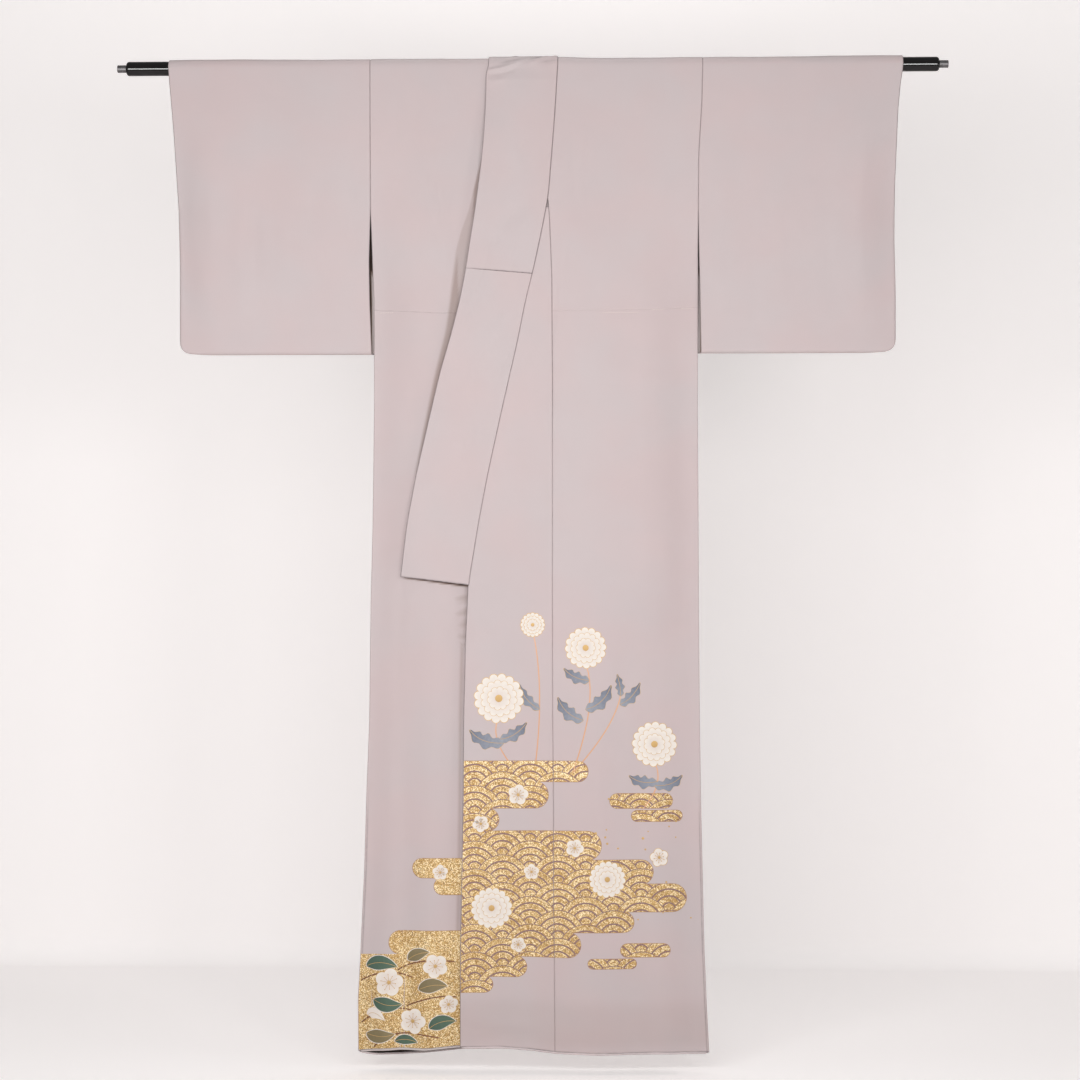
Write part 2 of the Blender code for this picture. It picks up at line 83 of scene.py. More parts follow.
rightCollar = {
    "height": (0, -15, -60, -117, -215, -295, -336, -450, -592, -762, -865),
    "free": (43, 43.5, 52, 66, 92, 108, 116, 140, 178.5, 214, 226),
    "seam": (-53, -51, -43, -33, -20.5, -5, 3.5, 27.5, 61, 95.5, 112.5),
}
collarSlant = {"height": (-60, -347, -864), "rise": (0, 9, 14)}
leftOkumi = {
    "height": (-225, -255, -350, -524, -865, -956, -1090, -1222, -1389, -1488, -1645),
    "seam": (29.5, 32, 35.8, 36.9, 36.8, 36.9, 37.3, 38.6, 38.7, 40, 41.1),
    "edge": (-102.8, -102.8, -102.8, -102.8, -102.8, -107.0, -110.2, -111, -114, -115.8, -115.8),
}
rightOkumi = {
    "height": (-225, -350, -865, -1090, -1389, -1645),
    "seam": (-19.3, -26, -27.5, -28.3, -30, -33),
    "edge": (112.5, 112.5, 112.5, 119, 123, 125),
}
hems = {
    "x": (-288, -260, -218, -177, -118, -52, -2, 41, 114, 214, 280, 297),
    "front": (
        -1641.5, -1638.5, -1635.5, -1635.8, -1630.3, -1629.8,
        -1633.8, -1638.5, -1640.7, -1639.4, -1640.5, -1640.5,
    ),
    "back": (-1642, -1646.5, -1648, -1644.5, -1637.5, -1637, -1640, -1643, -1644, -1643, -1641, -1640),
    "rows": (-1639.4, -1638.6, -1637.6, -1636),  # more mesh rows close to the turned edge
}
layerLift = {"height": (0, -24, -110, -400), "lift": (1.9, 3.7, 5.5, 6.0)}

# Soft upright folds that grow toward the hem: their middle line, width, and swell at mid height and at the hem
rightFrontFolds = [
    {"top": -236, "low": -252, "width": 24, "middle": 1.5, "hem": 5.0},
    {"top": -198, "low": -214, "width": 22, "middle": -1.0, "hem": -4.5},
    {"top": -150, "low": -166, "width": 26, "middle": 2.0, "hem": 5.0},
]
leftFrontFolds = [
    {"top": -60, "low": -82, "width": 45, "middle": 1.5, "hem": 3.0},
    {"top": 20, "low": 0, "width": 40, "middle": -1.0, "hem": -2.5},
    {"top": 95, "low": 104, "width": 55, "middle": 2.0, "hem": 5.0},
    {"top": 228, "low": 240, "width": 26, "middle": 1.0, "hem": 3.0},
]
backFolds = [
    {"top": -205, "low": -222, "width": 40, "middle": 3.0, "hem": 7.0},
    {"top": -18, "low": -22, "width": 50, "middle": 2.0, "hem": 5.0},
    {"top": 190, "low": 204, "width": 42, "middle": 3.0, "hem": 7.0},
]
# Creases, one by one: from one end to the other (x, z), half width, and how far out (+) or in (-)
rightFrontCreases = [
    ((-213, -8), (-211, -130), 9, -0.9),
    ((-196, -5), (-199, -170), 10, 0.8),
    ((-141, -40), (-140, -150), 8, -0.9),
    ((-126, -30), (-128, -140), 8, 0.7),
    ((-158, -160), (-124, -285), 9, -1.1),
    ((-175, -170), (-142, -330), 13, 0.9),
    ((-122, -205), (-136, -360), 9, 1.2),
    ((-214, -600), (-190, -520), 16, -1.0),
    ((-236, -700), (-222, -1240), 12, 0.8),
    ((-206, -820), (-196, -1180), 11, -0.9),
    ((-178, -760), (-182, -1300), 10, 0.8),
    ((-250, -1370), (-246, -1610), 9, 0.7),
]
leftFrontCreases = [
    ((81, -120), (77, -215), 7, -0.8),
    ((92, -100), (90, -240), 10, 0.6),
    ((54, -300), (57, -700), 7, -0.9),
    ((70, -250), (74, -640), 13, 0.9),
    ((120, -440), (250, -460), 26, -0.8),
    ((110, -500), (262, -515), 24, 0.9),
    ((60, -830), (255, -850), 40, -0.9),
    ((-60, -960), (-40, -1180), 18, 0.7),
    ((150, -900), (142, -1500), 22, 0.9),
    ((205, -1000), (214, -1560), 16, -0.8),
    ((-112, -1604), (20, -1612), 7, -0.7),
    ((-110, -1590), (10, -1597), 9, 0.6),
]
collarCreases = [
    ((-22, -236), (-66, -310), 13, -1.2),
    ((-2, -250), (-40, -345), 12, 1.0),
    ((-66, -310), (-100, -420), 12, -1.0),
    ((2, -420), (-70, -560), 14, -1.2),
    ((-30, -400), (-96, -530), 12, 1.0),
    ((-70, -560), (-120, -660), 12, -0.8),
    ((-10, -470), (-60, -640), 12, 0.8),
    ((-110, -700), (-150, -830), 16, 0.7),
    ((-30, -60), (-20, -170), 14, 0.6),
]
# Crumples where the collar goes over the rod; heights above 0 are measured over the rod's curve
topCreases = [
    ((-76, -9), (-4, 13), 3.4, 1.6),
    ((-70, -17), (-22, -5), 4.5, -0.9),
    ((-44, 12), (-20, 22), 6, 1.3),
    ((-18, 12), (6, 20), 5, -1.0),
    ((0, 4), (30, 21), 3.4, 1.5),
    ((18, 2), (44, 12), 4, -0.8),
    ((26, 14), (46, 24), 5, 1.2),
    ((-72, -26), (-40, -22), 5, 0.6),
]
backCreases = [
    ((-150, -120), (-170, -420), 16, 0.9),
    ((130, -100), (158, -460), 18, 0.9),
    ((-60, -300), (-44, -800), 14, -0.8),
    ((70, -500), (84, -1150), 16, 0.8),
    ((-210, -600), (-190, -1200), 14, -0.9),
    ((215, -560), (206, -1300), 13, -0.8),
    ((-120, -1000), (-128, -1600), 15, 0.9),
    ((-240, -420), (-60, -436), 22, -0.8),
    ((40, -430), (240, -418), 24, 0.8),
]
sleeveCreases = {
    "right": [
        ((-560, -150), (-540, -400), 18, 0.7),
        ((-480, -210), (-472, -430), 12, 0.8),
        ((-452, -230), (-446, -410), 9, -0.8),
        ((-400, -190), (-404, -420), 14, 0.7),
        ((-355, -160), (-345, -380), 12, -0.7),
        ((-290, -120), (-288, -330), 11, -0.8),
        ((-570, -428), (-310, -424), 10, -0.6),
    ],
    "left": [
        ((330, -150), (326, -420), 16, 0.7),
        ((372, -210), (380, -440), 13, -0.7),
        ((430, -180), (424, -400), 15, 0.7),
        ((500, -140), (512, -420), 14, -0.7),
        ((560, -120), (556, -380), 12, 0.7),
        ((320, -430), (560, -426), 11, -0.6),
    ],
}


def along(table, column, z, soft=9.0):
    # a table's column at each height, eased over its corners
    z = np.asarray(z, float)
    heights = [-height for height in table["height"]]
    taps = [np.interp(-(z + shift), heights, table[column]) for shift in (-soft, -soft / 2, 0, soft / 2, soft)]
    return (taps[0] + 2 * taps[1] + 3 * taps[2] + 2 * taps[3] + taps[4]) / 9


def smooth(share):
    share = np.clip(share, 0.0, 1.0)
    return share * share * (3 - 2 * share)


def collarEdge(table, column, z):
    # a collar's edge, drawn as one smooth curve below its start at the rod
    return along(table, column, z, np.clip(-np.asarray(z, float) * 0.4, 3, 24))


def foldSwell(folds, x, z):
    down = np.clip(z / garment["hem"], 0.0, 1.0)
    swell = 0.0
    for fold in folds:
        middle = fold["top"] + (fold["low"] - fold["top"]) * down
        depth = np.interp(down, (0.08, 0.5, 1.0), (0.0, fold["middle"], fold["hem"]))
        swell = swell + depth * np.exp(-(((x - middle) / fold["width"]) ** 2))
    return swell


def creaseRelief(creases, x, z):
    relief = np.zeros(np.broadcast(x, z).shape)
    for (x0, z0), (x1, z1), width, height in creases:
        length = math.hypot(x1 - x0, z1 - z0)
        alongX, alongZ = (x1 - x0) / length, (z1 - z0) / length
        share = ((x - x0) * alongX + (z - z0) * alongZ) / length
        bow = 0.05 * length * np.sin(math.pi * np.clip(share, 0, 1))
        off = (x - x0) * alongZ - (z - z0) * alongX - bow
        side = np.where(off > 0, width, width * 0.6)  # one flank is steeper
        ends = smooth((share + 0.15) / 0.4) * smooth((1.15 - share) / 0.4)
        relief += height * ends * np.exp(-((off / side) ** 2))
    return relief


def bodyDepth(x, z):
    side = along(bodySides, "bodyDepth", z)
    toRight = x - along(bodySides, "right", z)
    toLeft = along(bodySides, "left", z) - x
    share = smooth(toRight / 80) * smooth(toLeft / 95)
    return side + (garment["clothRadius"] - side) * share, share


def rightFrontY(x, z):
    depth, share = bodyDepth(x, z)
    return -depth - share * foldSwell(rightFrontFolds, x, z) - creaseRelief(rightFrontCreases, x, z) * share


def backY(x, z):
    depth, share = bodyDepth(x, z)
    return depth + share * foldSwell(backFolds, x, z) + creaseRelief(backCreases, x, z) * share


def leftFrontLift(x, z):
    # how far the left front stands off the right front that it covers
    lift = along(layerLift, "lift", z, soft=2)
    belowCollar = smooth((garment["collarFoot"] - z) / 130)
    cover = along(rightCollar, "free", z) * (1 - belowCollar) + along(rightOkumi, "edge", z) * belowCollar
    toSide = along(bodySides, "left", z) - x
    lift = lift * smooth((cover + 110 - x) / 170) * smooth(toSide / 60)
    offCollar = np.maximum(x - along(leftCollar, "free", z), 0)
    offOkumi = np.maximum(x - along(leftOkumi, "edge", z), 0)
    byCollar = np.exp(-offCollar / 45) * smooth(-z / 200) * smooth((z - garment["collarFoot"] + 12) / 10)
    byOkumi = np.exp(-offOkumi / 45) * smooth((-z - 760) / 110)
    return lift + 5.5 * np.maximum(byCollar, byOkumi)


def leftFrontPlain(x, z):
    depth, share = bodyDepth(x, z)
    return -depth - leftFrontLift(x, z) - share * foldSwell(leftFrontFolds, x, z)


def leftFrontY(x, z):
    depth, share = bodyDepth(x, z)
    return leftFrontPlain(x, z) - creaseRelief(leftFrontCreases, x, z) * smooth(share * 3)


def hemHeight(x, z, side):
    # lowers or raises the last of a panel so that it ends on its hem
    share = smooth((-z - 1400) / (-garment["hem"] - 1400))
    return z + (np.interp(x, hems["x"], hems[side]) - garment["hem"]) * share


waistTuck = {
    "height": -407.0,
    "x": (-262, -152, 83, 197, 277),
    "line": (-405.4, -411.7, -408.1, -406.8, -402.1),
    "groove": 0.25,  # depth of the sewn line
    "width": 0.7,
    "stitch": {"length": 2.0, "radius": 0.42, "spacing": 3.3},
    "rows": ((122, 181, -411.4), (203, 222, -406.6), (252, 270, -404.8), (-250, -228, -410.2)),
    "step": 0.5,  # the cloth above stands this far out and fades upward
    "fade": 26.0,
}


def tuckShift(x, z):
    # rows near the waist follow the sewn line
    line = np.interp(x, waistTuck["x"], waistTuck["line"]) - waistTuck["height"]
    return line * np.exp(-(((z - waistTuck["height"]) / 45) ** 2))


def tuckRelief(z):
    above = z - waistTuck["height"]
    stands = waistTuck["step"] * np.exp(-np.maximum(above, 0) / waistTuck["fade"]) * smooth((above + 0.6) / 1.2)
    return stands - waistTuck["groove"] * np.exp(-((above / waistTuck["width"]) ** 2))


seam = {
    "depth": 1.3,
    "width": 0.55,
    "columns": (0, 0.5, 1.1, 1.8, 2.9, 5.0, 7.2, 10.0),  # mesh columns beside every edge
    "armhole": -325.0,  # below this the side seams lie flatter
    "sideBelow": 0.45,
    "atHem": 0.8,  # how far the hem's edge turns in, set against a seam
}


def sideShare(z):
    return np.where(z < seam["armhole"], seam["sideBelow"], 1.0)


def seamRoll(distance):
    # the cloth turns in at a seam or a folded edge
    return seam["depth"] * np.exp(-((np.maximum(distance, 0) / seam["width"]) ** 2))


def tuckShade(x):
    # painted shade along the tuck's sewn line: it comes and goes, and is plainest on the right front
    return np.where(x < -60, 0.26, 0.1) * (0.65 + 0.35 * np.sin(x / 6.1) * np.sin(x / 2.3 + 1))


def paintedHemBand(z):
    # painted shade: a faint darker band above the left front's hem
    return 0.05 * smooth((-z - 1545) / 30) * smooth((z + 1634) / 12)


def hemShade(x, z):
    # a painted shade line where the cloth meets its hem roll, stronger here and there
    strength = 0.65 + 0.2 * np.sin(x / 31) + 0.15 * np.sin(x / 9.0)
    return strength * np.exp(-(((z - garment["hem"] - 0.5) / 0.7) ** 2))


def seamTone(z):
    # the painted shade of the overlap seams fades toward the hem, where they press flatter and look paler
    return 1 - 0.45 * smooth((-z - 520) / 160)


def sideLine(x, z, side):
    # a painted shade line inside each side, low on the skirt, where the back's edge shows
    inside = np.abs(x - along(bodySides, side, z))
    return 0.5 * np.exp(-(((inside - 3.0) / 0.9) ** 2)) * smooth((-z - 1180) / 120)


# The shade on the right front beside the left front's edge, by height: how far off the edge each zone reaches
collarShade = {
    "height": (
        -150, -174, -208, -241, -258, -275, -291, -308, -324, -341, -358, -374,
        -391, -408, -441, -491, -541, -608, -675, -700, -866, -884, -940, -1645,
    ),
    "near": (0, 4, 8, 4.5, 2) + (0,) * 19,
    "far": (0, 0, 0, 0, 0, 0, 14, 20.5, 21.5, 21, 20.5, 20, 18.5, 17, 13.5, 11, 9.5, 7.5, 3.5, 0, 0, 14, 11, 10),
    "clear": (0, 0, 0, 0, 0, 0, 14, 19, 16, 13, 9.5, 5, 1, -4, -4, -4, -4, -4, -4, -4, 4, 5, 5, 5),
    "pale": (0, 4, 8, 11.5, 15, 18.5, 20, 22, 22, 22, 21, 20, 17, 10) + (0,) * 10,
    "dark": 0.31,
    "byOverlap": 0.2,  # the shade is fainter beside the overlap panel, below the collar's foot
    "light": 0.15,
    "footDark": 0.85,
    "footReach": 3.4,  # how far the dark gap under the collar's foot reaches down at its seam
}


def frontEdge(z, ease):
    # the left front's free edge: the collar's, then the overlap panel's
    share = smooth((garment["collarFoot"] - z) / ease)
    return collarEdge(leftCollar, "free", z) * (1 - share) + along(leftOkumi, "edge", z) * share


def shadeByCollar(x, z):
    off = frontEdge(z, 1.0) - x
    near, far, clear, pale = [along(collarShade, zone, z, 4) for zone in ("near", "far", "clear", "pale")]
    dark = np.maximum(smooth((near + 1 - off) / 3), smooth((far + 1 - off) / 6) * smooth((off - clear + 2) / 4))
    dark = dark * (np.maximum(near, far) > 0.5)
    light = smooth((pale + 1 - off) / 3) * (pale > 0.5)
    strength = np.where(z > garment["collarFoot"], collarShade["dark"], collarShade["byOverlap"])
    return np.maximum(dark * strength, light * collarShade["light"])


def shadeUnderFoot(x, z):
    # painted shade in the gap under the collar's foot, wider toward its seam
    foot = garment["collarFoot"]
    free, sewn = float(collarEdge(leftCollar, "free", foot)), float(collarEdge(leftCollar, "seam", foot))
    share = np.clip((x - free) / (sewn - free), 0, 1)
    below = foot + float(along(collarSlant, "rise", foot, 3)) * (1 - share) - z
    reach = smooth((0.4 + collarShade["footReach"] * share + 1.2 - below) / 2.4)
    return collarShade["footDark"] * reach * (below > -6) * smooth(share * 12)


def gatherColumns(columns, down):
    # the right front's columns come close together beside the left front's edge, where that shade falls
    margin = len(seam["columns"])
    first, last = columns[:, margin - 1 : margin], columns[:, -margin : 1 - margin]
    near = frontEdge(down, 120.0)[:, None] + np.linspace(-24, 4, 15)[None, :]
    before = first + (near[:, :1] - first) * np.linspace(0, 1, 16)[None, 1:-1]
    after = near[:, -1:] + (last - near[:, -1:]) * np.linspace(0, 1, 10)[None, 1:-1]
    gathered = np.concatenate((columns[:, :margin], before, near, after, columns[:, -margin:]), axis=1)
    return columns + (gathered - columns) * smooth(-down / 60)[:, None]


def spread(low, high, steps):
    # columns between two edges, close together near each edge
    low, high = np.asarray(low, float)[:, None], np.asarray(high, float)[:, None]
    width = high - low
    near = np.array(seam["columns"])[None, :] * np.clip(width / 60, 0.02, 1)
    middle = np.linspace(0, 1, steps + 1)[None, 1:-1]
    inner = near[:, -1:] + (width - 2 * near[:, -1:]) * middle
    return np.concatenate((low + near, low + inner, high - near[:, ::-1]), axis=1)


def deselectAll():
    bpy.ops.object.select_all(action="DESELECT")


def applyModifiers(piece):
    deselectAll()
    piece.select_set(True)
    bpy.context.view_layer.objects.active = piece
    for modifier in list(piece.modifiers):
        bpy.ops.object.modifier_apply(modifier=modifier.name)


def lengths(y, z):
    # arc length down each column, in rows
    steps = np.hypot(np.diff(y, axis=0), np.diff(z, axis=0))
    return np.concatenate((np.zeros((1, y.shape[1])), np.cumsum(steps, axis=0)))


def newGrid(rows, columns):
    # a grid primitive, with the row and column of each of its points
    deselectAll()
    bpy.ops.mesh.primitive_grid_add(x_subdivisions=columns - 1, y_subdivisions=rows - 1, size=2, calc_uvs=True)
    grid = bpy.context.object
    flat = np.empty(len(grid.data.vertices) * 3)
    grid.data.vertices.foreach_get("co", flat)
    flat = flat.reshape(-1, 3)
    column = np.rint((flat[:, 0] + 1) / 2 * (columns - 1)).astype(int)
    row = np.rint((flat[:, 1] + 1) / 2 * (rows - 1)).astype(int)
    return grid, row, column


def placePoints(grid, x, y, z, row, column):
    places = np.stack((x[row, column], y[row, column], z[row, column]), axis=1) * mm
    grid.data.vertices.foreach_set("co", places.ravel())


def gridMesh(name, x, y, z, u, v, merge, shades):
    # a grid primitive moved to rows of points; shades are soft masks of painted shade for the materials
    piece, row, column = newGrid(*x.shape)
    piece.name = piece.data.name = name
    placePoints(piece, x, y, z, row, column)
    corner = np.empty(len(piece.data.loops), int)
    piece.data.loops.foreach_get("vertex_index", corner)
    flatU, flatV = u[row, column][corner], v[row, column][corner]
    piece.data.uv_layers[0].data.foreach_set("uv", (np.stack((flatU, flatV), axis=1) * mm).ravel())
    for label, shade in shades.items():
        mask = piece.data.attributes.new(label, "FLOAT", "POINT")
        mask.data.foreach_set("value", np.clip(shade[row, column], 0, 1))
    piece.data.update()
    if merge:
        bpy.ops.object.mode_set(mode="EDIT")
        bpy.ops.mesh.select_all(action="SELECT")
        bpy.ops.mesh.remove_doubles(threshold=0.00002)
        bpy.ops.object.mode_set(mode="OBJECT")
    return piece


def copyOf(master):
    part = master.copy()
    part.data = master.data.copy()
    bpy.context.scene.collection.objects.link(part)
    return part


def joinParts(name, parts, look):
    deselectAll()
    for part in parts:
        part.select_set(True)
    bpy.context.view_layer.objects.active = parts[0]
    bpy.ops.object.join()
    piece = bpy.context.object
    piece.name = piece.data.name = name
    piece.data.materials.append(look)
    return piece


def clothGrid(name, x, y, z, turned, hollow=None, shadow=None, thickness=None, merge=False):
    # a grid given its thickness and soft rims; its UV map is the cloth laid flat, in metres
    unshaded = np.zeros(turned.shape)
    # masks of painted shade: along turned edges and sewn lines, in hollows, and cast beside raised edges
    shades = {"paintedShade": turned, "hollow": unshaded if hollow is None else hollow}
    shades["shadow"] = unshaded if shadow is None else shadow
    piece = gridMesh(name, x, y, z, x, lengths(y, z), merge, shades)
    for look in cloth:
        piece.data.materials.append(look)
    wall = piece.modifiers.new("wall", "SOLIDIFY")
    wall.thickness = (thickness or garment["clothThickness"]) * mm
    wall.offset = 0.0
    wall.use_even_offset = True
    wall.material_offset = len(cloth) - 1
    rim = piece.modifiers.new("rim", "BEVEL")
    rim.width = garment["rim"] * mm
    rim.segments = 2
    rim.limit_method = "ANGLE"
    rim.angle_limit = math.radians(50)
    applyModifiers(piece)
    piece.data.shade_smooth()
    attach(piece, "root")
    return piece


def levels(top, bottom, extra=()):
    count = int(round((top - bottom) / garment["step"]))
    return np.array(sorted(set(np.round(np.linspace(bottom, top, count + 1), 2)) | set(extra)))


# Materials
def newLook(name, values):
    look = bpy.data.materials.new(name)
    look.use_nodes = True
    shader = look.node_tree.nodes["Principled BSDF"]
    for socket, value in values.items():
        shader.inputs[socket].default_value = value
    return look, look.node_tree, shader


def linear(colour):
    # a screen colour, 0 to 255, as scene light
    shares = [value / 255 for value in colour]
    return [share / 12.92 if share <= 0.04045 else ((share + 0.055) / 1.055) ** 2.4 for share in shares] + [1.0]


def addNode(tree, kind, inputs=None, **values):
    # a node with its settings, and its inputs as numbers or as links
    node = tree.nodes.new(kind)
    for name, value in values.items():
        setattr(node, name, value)
    for place, value in (inputs or {}).items():
        if isinstance(value, bpy.types.NodeSocket):
            tree.links.new(value, node.inputs[place])
        else:
            node.inputs[place].default_value = value
    return node


def connect(tree, node, sockets):
    for place, value in sockets.items():
        tree.links.new(value, node.inputs[place])


def maths(tree, operation, *values, clamp=False):
    node = addNode(tree, "ShaderNodeMath", dict(enumerate(values)), operation=operation, use_clamp=clamp)
    return node.outputs[0]


def mixColour(tree, mask, first, second):
    first, second = [linear(value) if isinstance(value, tuple) else value for value in (first, second)]
    return addNode(tree, "ShaderNodeMix", {0: mask, 6: first, 7: second}, data_type="RGBA").outputs[2]


def ramp(tree, mask, first, last):
    blend = addNode(tree, "ShaderNodeValToRGB", {0: mask})
    for element, colour in zip(blend.color_ramp.elements, (first, last)):
        element.color = linear(colour)
    return blend.outputs[0]


def noise(tree, place, scale, detail=2.0, roughness=0.5, dimensions="3D"):
    inputs = {"Vector": place, "Scale": scale, "Detail": detail, "Roughness": roughness}
    return addNode(tree, "ShaderNodeTexNoise", inputs, noise_dimensions=dimensions).outputs[0]


def addBump(tree, shader, height, strength, distance):
    lumps = addNode(tree, "ShaderNodeBump", {"Strength": strength, "Distance": distance, "Height": height})
    tree.links.new(lumps.outputs["Normal"], shader.inputs["Normal"])


def newGroup(name, inputs, outputs):
    group = bpy.data.node_groups.new(name, "ShaderNodeTree")
    for way, sockets in (("INPUT", inputs), ("OUTPUT", outputs)):
        for socket, kind in sockets.items():
            group.interface.new_socket(socket, in_out=way, socket_type="NodeSocket" + kind)
    return group, addNode(group, "NodeGroupInput").outputs, addNode(group, "NodeGroupOutput")


def makeCrepeGroup():
    # crepe silk: fine grains of twisted weft, a slow change of tone, and the painted shade of turned edges, sewn lines
    # and hollows
    inputs = {"Vector": "Vector", "Grain Size": "Float", "Colour": "Color"}
    inputs |= {"Tone Change": "Float", "Painted Shade": "Float", "Hollow": "Float"}
    group, given, end = newGroup("crepeWeave", inputs, {"Colour": "Color", "Height": "Float", "Roughness": "Float"})
    place = given["Vector"]
    stretched = addNode(group, "ShaderNodeMapping", {"Vector": place, "Scale": (1.0, 0.55, 1.0)}).outputs[0]
    grain = noise(group, stretched, maths(group, "DIVIDE", 1.0, given["Grain Size"]), 2.0, 0.6, "2D")
    slow = noise(group, place, 9.0, 3.0, dimensions="2D")
    both = maths(group, "MULTIPLY_ADD", grain, 0.25, maths(group, "MULTIPLY", slow, 0.75))
    change = maths(group, "MULTIPLY_ADD", maths(group, "SUBTRACT", both, 0.5), given["Tone Change"], 1.0)
    ragged = maths(group, "MULTIPLY_ADD", noise(group, place, 110.0, dimensions="2D"), -0.7, -0.35)
    change = maths(group, "MULTIPLY", change, maths(group, "MULTIPLY_ADD", given["Painted Shade"], ragged, 1.0))
    tone = addNode(group, "ShaderNodeVectorMath", {0: given["Colour"], "Scale": change}, operation="SCALE")
    left = maths(group, "SUBTRACT", 1.0, given["Hollow"])
    powers = {channel: maths(group, "POWER", left, power) for channel, power in enumerate((1.0, 1.22, 1.4))}
    warmth = addNode(group, "ShaderNodeCombineXYZ", powers)  # shade in the folds of silk is warm
    warm = addNode(group, "ShaderNodeVectorMath", {0: tone.outputs[0], 1: warmth.outputs[0]}, operation="MULTIPLY")
    rough = maths(group, "MULTIPLY_ADD", grain, 0.16, 0.44)
    connect(group, end, {"Colour": warm.outputs[0], "Height": grain, "Roughness": rough})
    return group


crepeGroup = makeCrepeGroup()
silkColours = {
    "outside": (197, 182, 182),
    "lining": (208, 197, 195),
    # paler than the outside silk: partly the lining's own paler tone, partly painted light on the roll's rounded face
    "roll": (218, 204, 204),
    "greyer": (-1.5, 0.8, 1.2),  # the silk drifts between these two casts
    "pinker": (1, -0.8, -0.8),
    "grain": 0.0011,
    "bump": 0.00035,
}


def silkLook(name, colour, grain, lumpHeight, toneChange, shade="shadow"):
    look, tree, shader = newLook(name, {"Specular IOR Level": 0.28, "Sheen Weight": 0.12, "Sheen Roughness": 0.45})
    place = addNode(tree, "ShaderNodeTexCoord").outputs["UV"]
    share = maths(tree, "MULTIPLY_ADD", noise(tree, place, 7.0, dimensions="2D"), 3.0, -1.0, clamp=True)
    greyer, pinker = [
        tuple(value + shift for value, shift in zip(colour, silkColours[cast])) for cast in ("greyer", "pinker")
    ]
    turned, hollow = [
        addNode(tree, "ShaderNodeAttribute", attribute_name=mask).outputs["Fac"] for mask in ("paintedShade", shade)
    ]
    inputs = {"Vector": place, "Grain Size": grain, "Colour": mixColour(tree, share, pinker, greyer)}
    inputs |= {"Tone Change": toneChange, "Painted Shade": turned, "Hollow": hollow}
    weave = addNode(tree, "ShaderNodeGroup", inputs, node_tree=crepeGroup).outputs
    connect(tree, shader, {"Base Color": weave["Colour"], "Roughness": weave["Roughness"]})
    addBump(tree, shader, weave["Height"], 0.35, lumpHeight)
    return look


silk = silkLook("greyMauveCrepe", silkColours["outside"], silkColours["grain"], silkColours["bump"], 0.06)
lining = silkLook("plainLining", silkColours["lining"], 0.0007, 0.0001, 0.04, shade="hollow")
rollSilk = silkLook("hemRollSilk", silkColours["roll"], silkColours["grain"], 0.0002, 0.04)
cloth = (silk, lining)
print("silk ready")


# Body panels: one length from the front hem over the rod to the back hem
def innerEdge(side, z):
    okumi, collar = (leftOkumi, leftCollar) if side == "left" else (rightOkumi, rightCollar)
    return np.where(z >= garment["okumiTip"], collarEdge(collar, "seam", z), along(okumi, "seam", z, 3))


def shoulderWave(x):
    # the cloth lies a little unevenly along the top of the rod, and looser toward the cuffs
    uneven = 0.25 * np.sin(x / 41 + 0.7) + 0.12 * np.sin(x / 13 + 1)
    return uneven - 0.2 + 1.1 * smooth((np.abs(x) - 330) / 240)


def shoulderShade(angles):
    # painted shade along the fold at the shoulder, where the cloth turns over the rod
    return 0.42 * np.exp(-(((np.degrees(angles) - 79) / 15) ** 2))


def shoulderRadius(x, side):
    if side == "right":
        return np.full_like(x, garment["clothRadius"])
    rise = garment["collarRadius"] - garment["clothRadius"]
    return garment["clothRadius"] + rise * smooth((100 - x) / 55)


bodyPanels = {
    "left": {
        "steps": 38,
        "flat": (0.288, 3.33),
        "area": 0.86,
        "hemHollow": 0.7,  # how dark the inside is at the hem
        "replaces": ("body_left_front", "body_left_back"),
    },
    "right": {
        "steps": 38,
        "flat": (0.294, 3.33),
        "area": 0.85,
        "hemHollow": 0.97,
        "replaces": ("body_right_front", "body_right_back"),
    },
}


